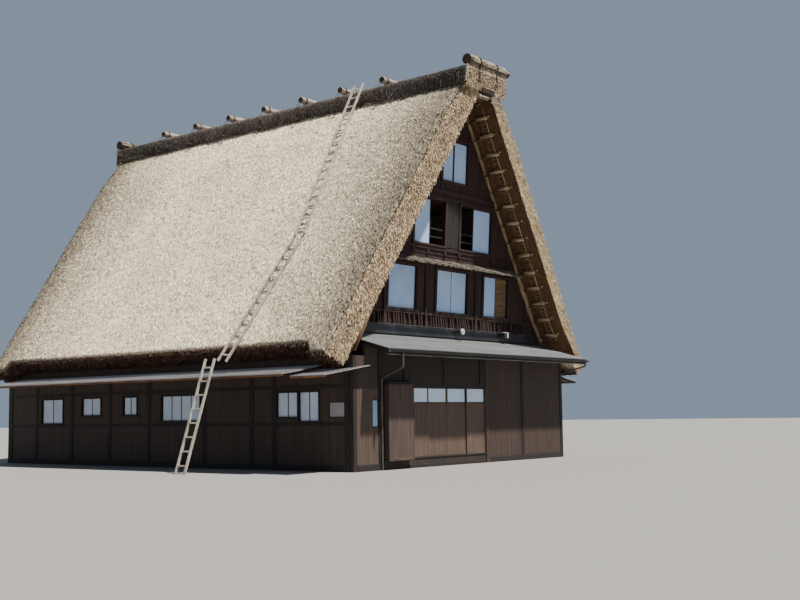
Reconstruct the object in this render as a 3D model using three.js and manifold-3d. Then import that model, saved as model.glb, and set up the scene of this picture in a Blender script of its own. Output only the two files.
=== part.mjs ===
import * as THREE from 'three';
import { mergeVertices } from 'three/addons/utils/BufferGeometryUtils.js';
import Module from 'manifold-3d';

// A steep thatched farmhouse: X runs across the gable, Y along the ridge, the front gable faces -Y.
// All sizes are in millimetres. The house is drawn about its own centre line and then moved as a
// whole, so that the origin lies on the ground under the middle of everything that is built.

const GAP = 0.3;

const HALF_LENGTH = 8000;
const LEAN = 0.065;
const LEAN_FROM = 4600;
const WALL = 120;
const FACE = -HALF_LENGTH;
const BACK_OF_FACE = FACE + WALL;

const INNER_APEX = 11856;
const INNER_SLOPE = 1.46;
const OUTER_APEX = 13461;
const OUTER_SLOPE = 1.496;
const EAVE_LIP = 6680;
const EAVE_INNER = 6000;
const VERGE_TAIL_LIP = 6880;
const VERGE_TAIL_INNER = 6200;
const VERGE_TAIL_DEPTH = 830;
const KNEE = 1990;
const KNEE_SLOPE = 1.19;
const THATCH_TOP = 12050;
const THATCH_UNDERSIDE_TOP = 11350;

const CAP_FOOT = 1130;
const CAP_INSIDE = 1000;
const CAP_SHOULDER = 1060;
const CAP_SHOULDER_TOP = 12170;
const CAP_HAUNCH = 500;
const CAP_HAUNCH_TOP = 12235;
const CAP_CROWN = 12250;
const ROLL_LENGTH = 1900;
const ROLL_RADIUS = 120;
const ROLL_FIRST = -5050;
const ROLL_SPACING = 1810;
const ROLL_COUNT = 7;
const ROLL_SINK = 20;
const END_ROLL_LENGTH = 2240;
const END_ROLL_RADIUS = 180;
const END_ROLL_BACK = 44;
const END_ROLL_SHIFT = 130;
const END_ROLL_SINK = 80;
const LOG_FROM = 1080;
const LOG_TO = 1330;
const LOG_RADIUS = 45;
const LOG_HEIGHT = 11630;

const FRAME_POLE = 90;
const FRAME_OUTER_POLE_Y = 7500;
const FRAME_FOOT = 3950;
const FRAME_HEAD = 11150;
const FRAME_BAR = 70;
const FRAME_BAR_COUNT = 14;

const SIDE_WALL_FACE = 5960;
const FRONT_CORNER = 4890;
const FRONT_ROOM_DEPTH = 900;
const POST = 150;
const POST_PROUD = 30;
const SILL_HEIGHT = 180;
const WING_TOP = 3100;
const CORNER_POST = -4830;
const POST_BY_BOX = -3720;
const POSTS_OVER_DOORS = [-1820, 60];
const NARROW_WINDOW = { x0: -5080, x1: -4920, z0: 1220, z1: 1870 };

const FLOOR_TOP = 450;
const FLOOR_THICKNESS = 120;

const DOOR_LEFT = -3560;
const DOOR_RIGHT = 290;
const DOOR_SILL_TOP = 300;
const DOOR_HEAD = 2280;
const LEAF_COUNT = 4;
const LEAF_THICKNESS = 30;
const TRACK_PITCH = 38;
const LEAF_CLEARANCE = 5;
const PANE_BOTTOM = 1850;
const PANE_TOP = 2240;
const PANE_RECESS = 9;
const STILE = 45;
const HEAD_BEAM = 60;
const LEAF_FEET = 0.8;
const POSTS_RIGHT = [DOOR_RIGHT + POST / 2, 2390, FRONT_CORNER - POST / 2];
const DOOR_MIDDLE = (DOOR_LEFT + DOOR_RIGHT) / 2;
const LEAF_WIDTH = (DOOR_RIGHT - DOOR_LEFT) / LEAF_COUNT + 2 * LEAF_CLEARANCE;
const TRACK_FRONT = FACE + 22;

const BOX_LEFT = -4670;
const BOX_RIGHT = -3530;
const BOX_BOTTOM = 240;
const BOX_TOP = 2350;
const BOX_DEPTH = 190;
const BOX_BOARD = 25;
const BOX_ROOF = 45;
const BOX_ROOF_OVERHANG = 50;

// A window in a wall is [near end, width, sill, head]
const WINDOW_HEAD = 2150;
const PORCH_WINDOW = [-7860, 700, 1460, 1860];
const SIDE_WINDOWS = [
  [-6790, 740, 1360, WINDOW_HEAD],
  [-6010, 810, 1480, WINDOW_HEAD],
  [-1990, 1740, 1410, WINDOW_HEAD],
  [950, 660, 1610, WINDOW_HEAD],
  [2780, 980, 1610, WINDOW_HEAD],
  [4820, 1180, 1360, WINDOW_HEAD],
];
const SASH_RAIL = 80;
const SASH_DEPTH = 40;
const SASH_RAIL_REACH = 20;
const BACK_WINDOWS = [
  [-4200, 1150, 1400, WINDOW_HEAD],
  [-600, 1200, 1400, WINDOW_HEAD],
  [3050, 1150, 1400, WINDOW_HEAD],
];

const LEAN_TO_EAVE = 8830;
const LEAN_TO_EAVE_TOP = 3290;
const LEAN_TO_SLOPE = 0.28;
const LEAN_TO_THICKNESS = 90;
const LEAN_TO_LEFT = -5450;
const LEAN_TO_RIGHT = 5200;

const AISLE_EAVE = 7650;
const AISLE_EAVE_TOP = 2620;
const AISLE_SLOPE = 0.155;
const AISLE_THICKNESS = 80;
const AISLE_END = 7040;

const PORCH_EAVE = 7350;
const PORCH_EAVE_TOP = 2560;
const PORCH_FRONT = 8250;
const PORCH_INNER = 5500;

const BEAM_TOP = 3300;
const BEAM_HEIGHT = 300;
const BEAM_HALF_DEPTH = 100;
const GABLE_FACE = 6900;
const GABLE_FOOT_HALF = 5780;

const ATTIC_FLOORS = { low: 4250, middle: 6350, top: 8450 };
const ATTIC_FLOOR_THICKNESS = 120;

const PENT_WALL_TOP = 6290;
const PENT_EAVE_TOP = 6030;
const PENT_DEPTH = 580;
const PENT_THICKNESS = 55;
const PENT_HALF = 3400;

// A window in a gable is [left, right, sill, head]
const GABLE_WINDOWS = {
  top: [-620, 700, 8800, 10100],
  middleLeft: [-1960, -430, 6720, 8110],
  middleRight: [430, 2140, 6720, 8110],
  lowLeft: [-3120, -1770, 4660, 5980],
  lowMiddle: [-740, 900, 4660, 5980],
  lowRight: [1830, 3260, 4660, 5980],
};
const MIDDLE_PANEL_LEFT = -1130;
const MIDDLE_PANEL_RIGHT = 1180;
const WINDOW_RAIL_HEIGHTS = [6970, 7220];
const WINDOW_RAIL = 50;
const OCHRE_PANEL_LEFT = 2600;
const TIE_BEAM = { bottom: 8330, top: 8460, proud: 90 };

const SASH_THICKNESS = 40;
const SASH_SETBACK = 30;
const TRACK_RAIL = 60;

const FLASHING = { bottom: 3880, top: 4160, half: 5040, thickness: 30 };
const FLOODLIGHT = { width: 240, height: 190, depth: 110, arm: 120, armWidth: 60, z: 4080 };
const FLOODLIGHTS = { left: 400, right: 2930 };

const GUTTER_RADIUS = 57;
const GUTTER_WALL = 5;
const GUTTER_TOP = 3225;
const PIPE_RADIUS = 30;
const PIPE_FOOT = 20;
const GUTTER_Y = -LEAN_TO_EAVE - GAP - GUTTER_RADIUS;
const CORNER_PIPE = { gutterX: -4890, drop: 400, wallX: CORNER_POST + 20, elbow: 2500 };
const RIGHT_PIPE = { drop: 130, gutterX: 5050, wallY: BACK_OF_FACE - 80, elbow: 2790 };

const LADDER_WIDTH = 410;
const LADDER_RAIL = 50;
const LADDER_THICKNESS = 60;
const RUNG = 38;
const RUNG_PITCH = 400;
// The two ladders on the roof lie end to end, each a little askew: [height, place along the ridge]
const UPPER_LADDER = { foot: [6900, -4640], head: [12330, -4110] };
const LOWER_LADDER = { foot: [3050, -4050], head: [6750, -4640] };
const LEANING_LADDER = { centre: -4150, head: 3100, slope: 0.34 };

const materialOf = (color, roughness, metalness = 0) =>
  new THREE.MeshStandardMaterial({ color, roughness, metalness });

const thatch = materialOf(0x9c8a68, 1);
const darkBoards = materialOf(0x3a2f29, 0.85);
const gableBoards = materialOf(0x3b2520, 0.85);
const paper = materialOf(0xd5dce6, 0.7);
const ochreBoards = materialOf(0x9a7440, 0.8);
const sheetRoof = materialOf(0x6f746f, 0.6, 0.2);
const darkMetal = materialOf(0x2d3138, 0.5, 0.4);
const paleMetal = materialOf(0xb9bdbd, 0.5, 0.5);
const floorBoards = materialOf(0x5b4633, 0.8);
const poleWood = materialOf(0x8c7452, 0.9);
const greyWood = materialOf(0xa19c92, 0.9);

const wasm = await Module();
wasm.setup();

// Solids from three.js shapes, joined and cut with manifold-3d

function welded(geometry) {
  const bare = geometry.clone();
  bare.deleteAttribute('normal');
  bare.deleteAttribute('uv');
  return mergeVertices(bare, 0.01);
}

function toSolid(geometry) {
  const merged = welded(geometry);
  return new wasm.Manifold(new wasm.Mesh({
    numProp: 3,
    vertProperties: new Float32Array(merged.attributes.position.array),
    triVerts: new Uint32Array(merged.index.array),
  }));
}

function toGeometry(solid) {
  const mesh = solid.getMesh();
  const geometry = new THREE.BufferGeometry();
  geometry.setAttribute('position', new THREE.BufferAttribute(mesh.vertProperties, 3));
  geometry.setIndex(new THREE.BufferAttribute(mesh.triVerts, 1));
  return geometry;
}

function join(geometries) {
  return toGeometry(geometries.map(toSolid).reduce((whole, next) => whole.add(next)));
}

function cut(geometry, holes) {
  return toGeometry(holes.map(toSolid).reduce((whole, hole) => whole.subtract(hole), toSolid(geometry)));
}

function box(x0, x1, y0, y1, z0, z1) {
  const geometry = new THREE.BoxGeometry(x1 - x0, y1 - y0, z1 - z0);
  geometry.translate((x0 + x1) / 2, (y0 + y1) / 2, (z0 + z1) / 2);
  return geometry;
}

function outline(points) {
  return new THREE.Shape(points.map(([a, b]) => new THREE.Vector2(a, b)));
}

// An outline of [x, z] points, carried along Y from y0 to y1
function alongY(points, y0, y1) {
  const geometry = new THREE.ExtrudeGeometry(outline(points), { depth: y1 - y0, bevelEnabled: false });
  geometry.rotateX(Math.PI / 2);
  geometry.translate(0, y1, 0);
  return geometry;
}

// An outline of [y, z] points, carried along X from x0 to x1
function alongX(points, x0, x1) {
  const geometry = new THREE.ExtrudeGeometry(outline(points), { depth: x1 - x0, bevelEnabled: false });
  geometry.applyMatrix4(new THREE.Matrix4().set(0, 0, 1, 0, 1, 0, 0, 0, 0, 1, 0, 0, 0, 0, 0, 1));
  geometry.translate(x0, 0, 0);
  return geometry;
}

function rodAlongX(x0, x1, y, z, radius, sides) {
  const geometry = new THREE.CylinderGeometry(radius, radius, x1 - x0, sides);
  geometry.rotateZ(-Math.PI / 2);
  geometry.translate((x0 + x1) / 2, y, z);
  return geometry;
}

function mirrored(geometry, axis) {
  const copy = welded(geometry);
  const scale = axis === 'x' ? [-1, 1, 1] : [1, -1, 1];
  copy.scale(...scale);
  const index = copy.index.array;
  for (let i = 0; i < index.length; i += 3) {
    [index[i], index[i + 1]] = [index[i + 1], index[i]];
  }
  return copy;
}

// Both gable ends lean outwards as they rise
function splay(geometry) {
  const position = geometry.attributes.position;
  for (let i = 0; i < position.count; i += 1) {
    const y = position.getY(i);
    position.setY(i, y + Math.sign(y) * LEAN * (position.getZ(i) - LEAN_FROM));
  }
  geometry.deleteAttribute('normal');
  return geometry;
}

const innerHeight = (x) => INNER_APEX - INNER_SLOPE * Math.abs(x);
const outerHeight = (x) => OUTER_APEX - OUTER_SLOPE * Math.abs(x);
const innerHalf = (z) => (INNER_APEX - z) / INNER_SLOPE;
const outerHalf = (z) => (OUTER_APEX - z) / OUTER_SLOPE;
const kneeHeight = (x) => outerHeight(KNEE) + KNEE_SLOPE * (KNEE - x);
const gableFaceY = (z) => -GABLE_FACE - LEAN * (z - LEAN_FROM);
const leanToTop = (y) => LEAN_TO_EAVE_TOP + LEAN_TO_SLOPE * (LEAN_TO_EAVE - Math.abs(y));
const leanToUnderside = (y) => leanToTop(y) - LEAN_TO_THICKNESS - GAP;

const house = new THREE.Group();

function piece(name, geometry, material) {
  const mesh = new THREE.Mesh(geometry, material);
  mesh.name = name;
  house.add(mesh);
}

// Thatched roof

function slopeProfile(lip, inner, clearance) {
  return [
    [lip, outerHeight(lip)],
    [KNEE, outerHeight(KNEE)],
    [CAP_INSIDE - GAP, kneeHeight(CAP_INSIDE - GAP)],
    [CAP_INSIDE - GAP, THATCH_TOP],
    [clearance, THATCH_TOP],
    [clearance, THATCH_UNDERSIDE_TOP],
    [innerHalf(THATCH_UNDERSIDE_TOP), THATCH_UNDERSIDE_TOP],
    [inner, innerHeight(inner)],
  ];
}

function thatchSlope() {
  const main = splay(alongY(slopeProfile(EAVE_LIP, EAVE_INNER, GAP / 2), -HALF_LENGTH, HALF_LENGTH));
  const tail = [
    [VERGE_TAIL_LIP, outerHeight(VERGE_TAIL_LIP)],
    [EAVE_LIP - 400, outerHeight(EAVE_LIP - 400)],
    [EAVE_INNER - 400, innerHeight(EAVE_INNER - 400)],
    [VERGE_TAIL_INNER, innerHeight(VERGE_TAIL_INNER)],
  ];
  const front = splay(alongY(tail, -HALF_LENGTH, -HALF_LENGTH + VERGE_TAIL_DEPTH));
  const back = splay(alongY(tail, HALF_LENGTH - VERGE_TAIL_DEPTH, HALF_LENGTH));
  return join([main, front, back]);
}

const rightThatch = thatchSlope();
piece('right_thatch', rightThatch, thatch);
piece('left_thatch', mirrored(rightThatch, 'x'), thatch);

// The ridge cap sits astride the thatch, with rolls across it and the ends of the logs that it is tied to
function ridgeCap() {
  const seat = GAP * Math.hypot(1, KNEE_SLOPE);
  const half = [
    [CAP_INSIDE, kneeHeight(CAP_INSIDE) + seat],
    [CAP_FOOT, kneeHeight(CAP_FOOT) + seat],
    [CAP_SHOULDER, CAP_SHOULDER_TOP],
    [CAP_HAUNCH, CAP_HAUNCH_TOP],
  ];
  const otherHalf = half.map(([x, z]) => [-x, z]).reverse();
  const profile = [
    [CAP_INSIDE, THATCH_TOP + GAP],
    ...half,
    [0, CAP_CROWN],
    ...otherHalf,
    [-CAP_INSIDE, THATCH_TOP + GAP],
  ];
  const parts = [splay(alongY(profile, -HALF_LENGTH, HALF_LENGTH))];
  for (let i = 0; i < ROLL_COUNT; i += 1) {
    const y = ROLL_FIRST + i * ROLL_SPACING;
    const z = CAP_CROWN + ROLL_RADIUS - ROLL_SINK;
    parts.push(rodAlongX(-ROLL_LENGTH / 2, ROLL_LENGTH / 2, y, z, ROLL_RADIUS, 12));
    parts.push(rodAlongX(LOG_FROM, LOG_TO, y, LOG_HEIGHT, LOG_RADIUS, 8));
    parts.push(rodAlongX(-LOG_TO, -LOG_FROM, y, LOG_HEIGHT, LOG_RADIUS, 8));
  }
  const endY = HALF_LENGTH + LEAN * (CAP_CROWN - LEAN_FROM) - END_ROLL_BACK;
  for (const y of [-endY, endY]) {
    const z = CAP_CROWN + END_ROLL_RADIUS - END_ROLL_SINK;
    const left = END_ROLL_SHIFT - END_ROLL_LENGTH / 2;
    parts.push(rodAlongX(left, left + END_ROLL_LENGTH, y, z, END_ROLL_RADIUS, 16));
  }
  return join(parts);
}

piece('ridge_cap', ridgeCap(), thatch);

// Poles and short bars under the overhang of one verge, seated on the inside of the thatch

function vergeFrame() {
  const poleDepth = FRAME_POLE * Math.hypot(1, INNER_SLOPE);
  const seat = GAP * Math.hypot(1, INNER_SLOPE);
  const pole = [
    [innerHalf(FRAME_FOOT + seat), FRAME_FOOT],
    [innerHalf(FRAME_HEAD + seat), FRAME_HEAD],
    [innerHalf(FRAME_HEAD + poleDepth), FRAME_HEAD],
    [innerHalf(FRAME_FOOT + poleDepth), FRAME_FOOT],
  ];
  const parts = [];
  const poleWidth = FRAME_POLE / 2;
  for (const y of [GABLE_FACE + poleWidth + GAP, FRAME_OUTER_POLE_Y]) {
    parts.push(splay(alongY(pole, -y - poleWidth, -y + poleWidth)));
  }
  const step = (FRAME_HEAD - FRAME_FOOT) / FRAME_BAR_COUNT;
  for (let i = 0; i < FRAME_BAR_COUNT; i += 1) {
    const z = FRAME_FOOT + step * (i + 0.5);
    const bar = [
      [innerHalf(z + seat), z],
      [innerHalf(z + FRAME_BAR + seat), z + FRAME_BAR],
      [innerHalf(z + FRAME_BAR + poleDepth * 0.8), z + FRAME_BAR],
      [innerHalf(z + poleDepth * 0.8), z],
    ];
    parts.push(splay(alongY(bar, -FRAME_OUTER_POLE_Y - poleWidth, -GABLE_FACE - poleWidth)));
  }
  return join(parts);
}

const frontRightFrame = vergeFrame();
const frontLeftFrame = mirrored(frontRightFrame, 'x');
piece('front_right_verge_frame', frontRightFrame, poleWood);
piece('front_left_verge_frame', frontLeftFrame, poleWood);
piece('back_right_verge_frame', mirrored(frontRightFrame, 'y'), poleWood);
piece('back_left_verge_frame', mirrored(frontLeftFrame, 'y'), poleWood);

// Lean-to and aisle roofs

function leanToRoof(left, right) {
  const nearly = gableFaceY(leanToTop(GABLE_FACE));
  const inner = gableFaceY(leanToTop(nearly)) - GAP;
  const profile = [
    [-LEAN_TO_EAVE, LEAN_TO_EAVE_TOP - LEAN_TO_THICKNESS],
    [inner, leanToTop(inner) - LEAN_TO_THICKNESS],
    [inner, leanToTop(inner)],
    [-LEAN_TO_EAVE, LEAN_TO_EAVE_TOP],
  ];
  return alongX(profile, left, right);
}

piece('front_lean_to_roof', leanToRoof(LEAN_TO_LEFT, LEAN_TO_RIGHT), sheetRoof);
piece('back_lean_to_roof', mirrored(leanToRoof(LEAN_TO_LEFT, -LEAN_TO_LEFT), 'y'), sheetRoof);

function aisleRoof(eave, eaveTop, inner, y0, y1) {
  const top = eaveTop + AISLE_SLOPE * (eave - inner);
  const profile = [
    [-eave, eaveTop - AISLE_THICKNESS],
    [-inner, top - AISLE_THICKNESS],
    [-inner, top],
    [-eave, eaveTop],
  ];
  return alongY(profile, y0, y1);
}

const leftAisle = aisleRoof(AISLE_EAVE, AISLE_EAVE_TOP, SIDE_WALL_FACE + GAP, -AISLE_END, AISLE_END);
piece('left_aisle_roof', leftAisle, sheetRoof);
piece('right_aisle_roof', mirrored(leftAisle, 'x'), sheetRoof);
piece('left_porch_roof', join([
  aisleRoof(PORCH_EAVE, PORCH_EAVE_TOP, SIDE_WALL_FACE + GAP, -PORCH_FRONT, -AISLE_END - GAP),
  aisleRoof(PORCH_EAVE, PORCH_EAVE_TOP, PORCH_INNER, -PORCH_FRONT, -HALF_LENGTH - GAP),
]), sheetRoof);

// Ground storey

function frontWallBand(x0, x1, bottom) {
  return alongX([
    [FACE, bottom],
    [BACK_OF_FACE, bottom],
    [BACK_OF_FACE, leanToUnderside(BACK_OF_FACE)],
    [FACE, leanToUnderside(FACE)],
  ], x0, x1);
}

function frontPost(x, bottom) {
  const front = FACE - POST_PROUD;
  return alongX([
    [front, bottom],
    [FACE + POST_PROUD, bottom],
    [FACE + POST_PROUD, leanToUnderside(FACE + POST_PROUD)],
    [front, leanToUnderside(front)],
  ], x - POST / 2, x + POST / 2);
}

const narrowHole = box(NARROW_WINDOW.x0, NARROW_WINDOW.x1, FACE - WALL, FACE + 2 * WALL,
  NARROW_WINDOW.z0, NARROW_WINDOW.z1);
piece('front_wall_left', cut(join([
  frontWallBand(LEAN_TO_LEFT, DOOR_LEFT, 0),
  box(-SIDE_WALL_FACE, LEAN_TO_LEFT + 1, FACE, BACK_OF_FACE, 0, WING_TOP),
  frontPost(CORNER_POST, 0),
  frontPost(POST_BY_BOX, BOX_TOP + BOX_ROOF + 5),
  box(-SIDE_WALL_FACE, CORNER_POST, FACE - POST_PROUD / 2, FACE + POST_PROUD, 0, SILL_HEIGHT),
]), [narrowHole]), darkBoards);
piece('narrow_front_pane', box(NARROW_WINDOW.x0 + GAP, NARROW_WINDOW.x1 - GAP,
  FACE + SASH_SETBACK, FACE + SASH_SETBACK + SASH_THICKNESS,
  NARROW_WINDOW.z0 + GAP, NARROW_WINDOW.z1 - GAP), paper);

piece('front_wall', join([
  frontWallBand(DOOR_RIGHT, FRONT_CORNER, 0),
  ...POSTS_RIGHT.map((x) => frontPost(x, 0)),
  box(DOOR_RIGHT, FRONT_CORNER, FACE - POST_PROUD / 2, FACE + POST_PROUD, 0, SILL_HEIGHT),
]), darkBoards);
piece('front_wall_over_doors', join([
  frontWallBand(DOOR_LEFT + GAP, DOOR_RIGHT - GAP, DOOR_HEAD + HEAD_BEAM + GAP),
  ...POSTS_OVER_DOORS.map((x) => frontPost(x, DOOR_HEAD + HEAD_BEAM + GAP)),
]), darkBoards);
piece('door_head', box(DOOR_LEFT + GAP, DOOR_RIGHT - GAP, FACE, BACK_OF_FACE,
  DOOR_HEAD, DOOR_HEAD + HEAD_BEAM), darkBoards);
piece('door_sill', box(DOOR_LEFT + GAP, DOOR_RIGHT - GAP, FACE, BACK_OF_FACE,
  0, DOOR_SILL_TOP), darkBoards);

// Four sliding door leaves: the outer two run on the front track, the inner two behind them

function doorLeaf(x0, trackY) {
  const x1 = x0 + LEAF_WIDTH;
  const board = box(x0, x1, trackY, trackY + LEAF_THICKNESS, DOOR_SILL_TOP + LEAF_FEET,
    DOOR_HEAD - LEAF_CLEARANCE);
  const pane = box(x0 + STILE, x1 - STILE, trackY - LEAF_THICKNESS, trackY + PANE_RECESS,
    PANE_BOTTOM, PANE_TOP);
  return cut(board, [pane]);
}

const leafPlaces = [
  { x: DOOR_LEFT + LEAF_CLEARANCE, track: 0 },
  { x: DOOR_MIDDLE - LEAF_CLEARANCE / 2 - LEAF_WIDTH, track: 1 },
  { x: DOOR_MIDDLE + LEAF_CLEARANCE / 2, track: 1 },
  { x: DOOR_RIGHT - LEAF_CLEARANCE - LEAF_WIDTH, track: 0 },
];
leafPlaces.forEach(({ x, track }, i) => {
  piece(`door_leaf_${i + 1}`, doorLeaf(x, TRACK_FRONT + track * TRACK_PITCH), darkBoards);
});

// The box for the rain shutters stands on the wall face and is open towards the doors
function shutterBox() {
  const back = FACE - GAP;
  const front = FACE - BOX_DEPTH;
  return join([
    box(BOX_LEFT, BOX_RIGHT, front, front + BOX_BOARD, BOX_BOTTOM, BOX_TOP),
    box(BOX_LEFT, BOX_LEFT + BOX_BOARD, front, back, BOX_BOTTOM, BOX_TOP),
    box(BOX_LEFT, BOX_RIGHT, front, back, BOX_BOTTOM, BOX_BOTTOM + BOX_BOARD),
    box(BOX_LEFT - BOX_ROOF_OVERHANG, BOX_RIGHT + BOX_ROOF_OVERHANG, front - BOX_ROOF_OVERHANG, back,
      BOX_TOP, BOX_TOP + BOX_ROOF),
  ]);
}

piece('shutter_box', shutterBox(), darkBoards);

// Side walls, with rows of high windows; each window is [near end, width, sill, head]

function sideWall(y0, y1, windows) {
  const inside = SIDE_WALL_FACE - WALL;
  const profile = [
    [-SIDE_WALL_FACE, 0],
    [-inside, 0],
    [-inside, innerHeight(inside) - 2 * GAP],
    [-SIDE_WALL_FACE, innerHeight(SIDE_WALL_FACE) - 2 * GAP],
  ];
  const holes = windows.map(([y, width, sill, head]) =>
    box(-SIDE_WALL_FACE - WALL, -inside + WALL, y, y + width, sill, head));
  return cut(alongY(profile, y0, y1), holes);
}

// The panes of one side hang from one head rail along the inside of the wall
function sashRow(windows) {
  const inside = -SIDE_WALL_FACE + WALL + GAP;
  const first = windows[0];
  const last = windows[windows.length - 1];
  const parts = [box(inside, inside + SASH_DEPTH, first[0] - SASH_RAIL_REACH,
    last[0] + last[1] + SASH_RAIL_REACH, WINDOW_HEAD, WINDOW_HEAD + SASH_RAIL)];
  for (const [y, width, sill, head] of windows) {
    parts.push(box(-SIDE_WALL_FACE + SASH_SETBACK, inside + SASH_DEPTH, y + GAP, y + width - GAP,
      sill + GAP, head - GAP));
    parts.push(box(inside, inside + SASH_DEPTH, y + GAP, y + width - GAP, sill + GAP, WINDOW_HEAD + 1));
  }
  return join(parts);
}

const WALL_END = HALF_LENGTH - WALL - GAP;
const NOTCH = -HALF_LENGTH + FRONT_ROOM_DEPTH;
const leftWindows = [PORCH_WINDOW, ...SIDE_WINDOWS];
piece('left_wall', sideWall(-WALL_END, WALL_END, leftWindows), darkBoards);
piece('left_sashes', sashRow(leftWindows), paper);
piece('right_wall', mirrored(sideWall(NOTCH + WALL + GAP, WALL_END, SIDE_WINDOWS), 'x'), darkBoards);
piece('right_sashes', mirrored(sashRow(SIDE_WINDOWS), 'x'), paper);

function returnWall() {
  const inner = FRONT_CORNER - WALL;
  const near = BACK_OF_FACE + GAP;
  const side = alongX([
    [near, 0],
    [NOTCH + WALL, 0],
    [NOTCH + WALL, leanToUnderside(NOTCH + WALL)],
    [near, leanToUnderside(near)],
  ], inner, FRONT_CORNER);
  return join([side, box(FRONT_CORNER - 1, SIDE_WALL_FACE, NOTCH, NOTCH + WALL, 0, WING_TOP)]);
}

piece('right_return_wall', returnWall(), darkBoards);

// Rows that were drawn along the left wall are turned to stand along the back wall
function turnedToBack(geometry) {
  geometry.rotateZ(-Math.PI / 2);
  geometry.translate(0, HALF_LENGTH - SIDE_WALL_FACE, 0);
  return geometry;
}

const backHoles = BACK_WINDOWS.map(([x, width, sill, head]) =>
  box(x, x + width, HALF_LENGTH - 2 * WALL, HALF_LENGTH + WALL, sill, head));
piece('back_wall', cut(join([
  mirrored(frontWallBand(LEAN_TO_LEFT, -LEAN_TO_LEFT, 0), 'y'),
  box(-SIDE_WALL_FACE, SIDE_WALL_FACE, HALF_LENGTH - WALL, HALF_LENGTH, 0, WING_TOP),
]), backHoles), darkBoards);
piece('back_sashes', turnedToBack(sashRow(BACK_WINDOWS)), paper);

const insideX = SIDE_WALL_FACE - WALL - GAP;
piece('ground_floor', join([
  box(-insideX, insideX, NOTCH + WALL + GAP, WALL_END - GAP, FLOOR_TOP - FLOOR_THICKNESS, FLOOR_TOP),
  box(-insideX, FRONT_CORNER - WALL - GAP, -WALL_END + GAP, NOTCH + WALL + 1,
    FLOOR_TOP - FLOOR_THICKNESS, FLOOR_TOP),
]), floorBoards);

// Attic: beams, floors and gable walls

const BEAM_CENTRE = -gableFaceY(BEAM_TOP) - WALL / 2;
const frontBeam = box(-insideX, insideX, -BEAM_CENTRE - BEAM_HALF_DEPTH, -BEAM_CENTRE + BEAM_HALF_DEPTH,
  BEAM_TOP - BEAM_HEIGHT, BEAM_TOP);
piece('front_gable_beam', frontBeam, darkBoards);
piece('back_gable_beam', mirrored(frontBeam, 'y'), darkBoards);

const gableBack = GABLE_FACE - WALL;

function atticFloor(top) {
  const bottom = top - ATTIC_FLOOR_THICKNESS;
  const upper = innerHalf(top) - GAP;
  const lower = innerHalf(bottom) - GAP;
  const profile = [[-lower, bottom], [lower, bottom], [upper, top], [-upper, top]];
  return splay(alongY(profile, -gableBack + GAP, gableBack - GAP));
}

for (const [storey, top] of Object.entries(ATTIC_FLOORS)) {
  piece(`attic_floor_${storey}`, atticFloor(top), floorBoards);
}

// Gable windows as [left, right, sill, head]
const FRAME_POLE_REACH = FRAME_POLE * Math.hypot(1, INNER_SLOPE) / INNER_SLOPE + 20;

function gableWall() {
  const apex = THATCH_UNDERSIDE_TOP - GAP;
  const edge = (z) => innerHalf(z) - GAP;
  const shoulder = innerHeight(GABLE_FOOT_HALF + GAP);
  const profile = [
    [-GABLE_FOOT_HALF, BEAM_TOP + GAP],
    [GABLE_FOOT_HALF, BEAM_TOP + GAP],
    [GABLE_FOOT_HALF, shoulder],
    [edge(apex), apex],
    [-edge(apex), apex],
    [-GABLE_FOOT_HALF, shoulder],
  ];
  const wall = alongY(profile, -GABLE_FACE, -gableBack);
  const holes = Object.values(GABLE_WINDOWS).map(([x0, x1, z0, z1]) =>
    box(x0, x1, -GABLE_FACE - WALL, -gableBack + WALL, z0, z1));
  const tieHalf = innerHalf(TIE_BEAM.top) - FRAME_POLE_REACH;
  const tie = box(-tieHalf, tieHalf, -GABLE_FACE - TIE_BEAM.proud, -GABLE_FACE + 1,
    TIE_BEAM.bottom, TIE_BEAM.top);
  return splay(join([cut(wall, holes), tie]));
}

const frontGableWall = gableWall();
piece('front_gable_wall', frontGableWall, gableBoards);
piece('back_gable_wall', mirrored(frontGableWall, 'y'), gableBoards);

const sashFront = -GABLE_FACE + SASH_SETBACK;
const sashPanel = (x0, x1, z0, z1) =>
  box(x0 + GAP, x1 - GAP, sashFront, sashFront + SASH_THICKNESS, z0 + GAP, z1 - GAP);

function middleSash([x0, x1, z0, z1], panelFrom, panelTo) {
  const rails = WINDOW_RAIL_HEIGHTS.map((z) => box(x0 + GAP, x1 - GAP,
    sashFront, sashFront + SASH_THICKNESS, z - WINDOW_RAIL / 2, z + WINDOW_RAIL / 2));
  return splay(join([sashPanel(panelFrom, panelTo, z0, z1), ...rails]));
}

const { top, middleLeft, middleRight, lowLeft, lowMiddle, lowRight } = GABLE_WINDOWS;
const topSash = splay(sashPanel(...top));
const middleLeftSash = middleSash(middleLeft, middleLeft[0], MIDDLE_PANEL_LEFT);
const middleRightSash = middleSash(middleRight, MIDDLE_PANEL_RIGHT, middleRight[1]);
const lowLeftSash = splay(sashPanel(...lowLeft));
const lowMiddleSash = splay(sashPanel(...lowMiddle));
const lowRightSash = splay(sashPanel(lowRight[0], OCHRE_PANEL_LEFT, lowRight[2], lowRight[3]));
const ochrePanel = splay(sashPanel(OCHRE_PANEL_LEFT, lowRight[1], lowRight[2], lowRight[3]));

piece('front_top_screen', topSash, paper);
piece('front_middle_left_screen', middleLeftSash, paper);
piece('front_middle_right_screen', middleRightSash, paper);
piece('front_low_left_screen', lowLeftSash, paper);
piece('front_low_middle_screen', lowMiddleSash, paper);
piece('front_low_right_screen', lowRightSash, paper);
piece('front_ochre_panel', ochrePanel, ochreBoards);

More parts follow.
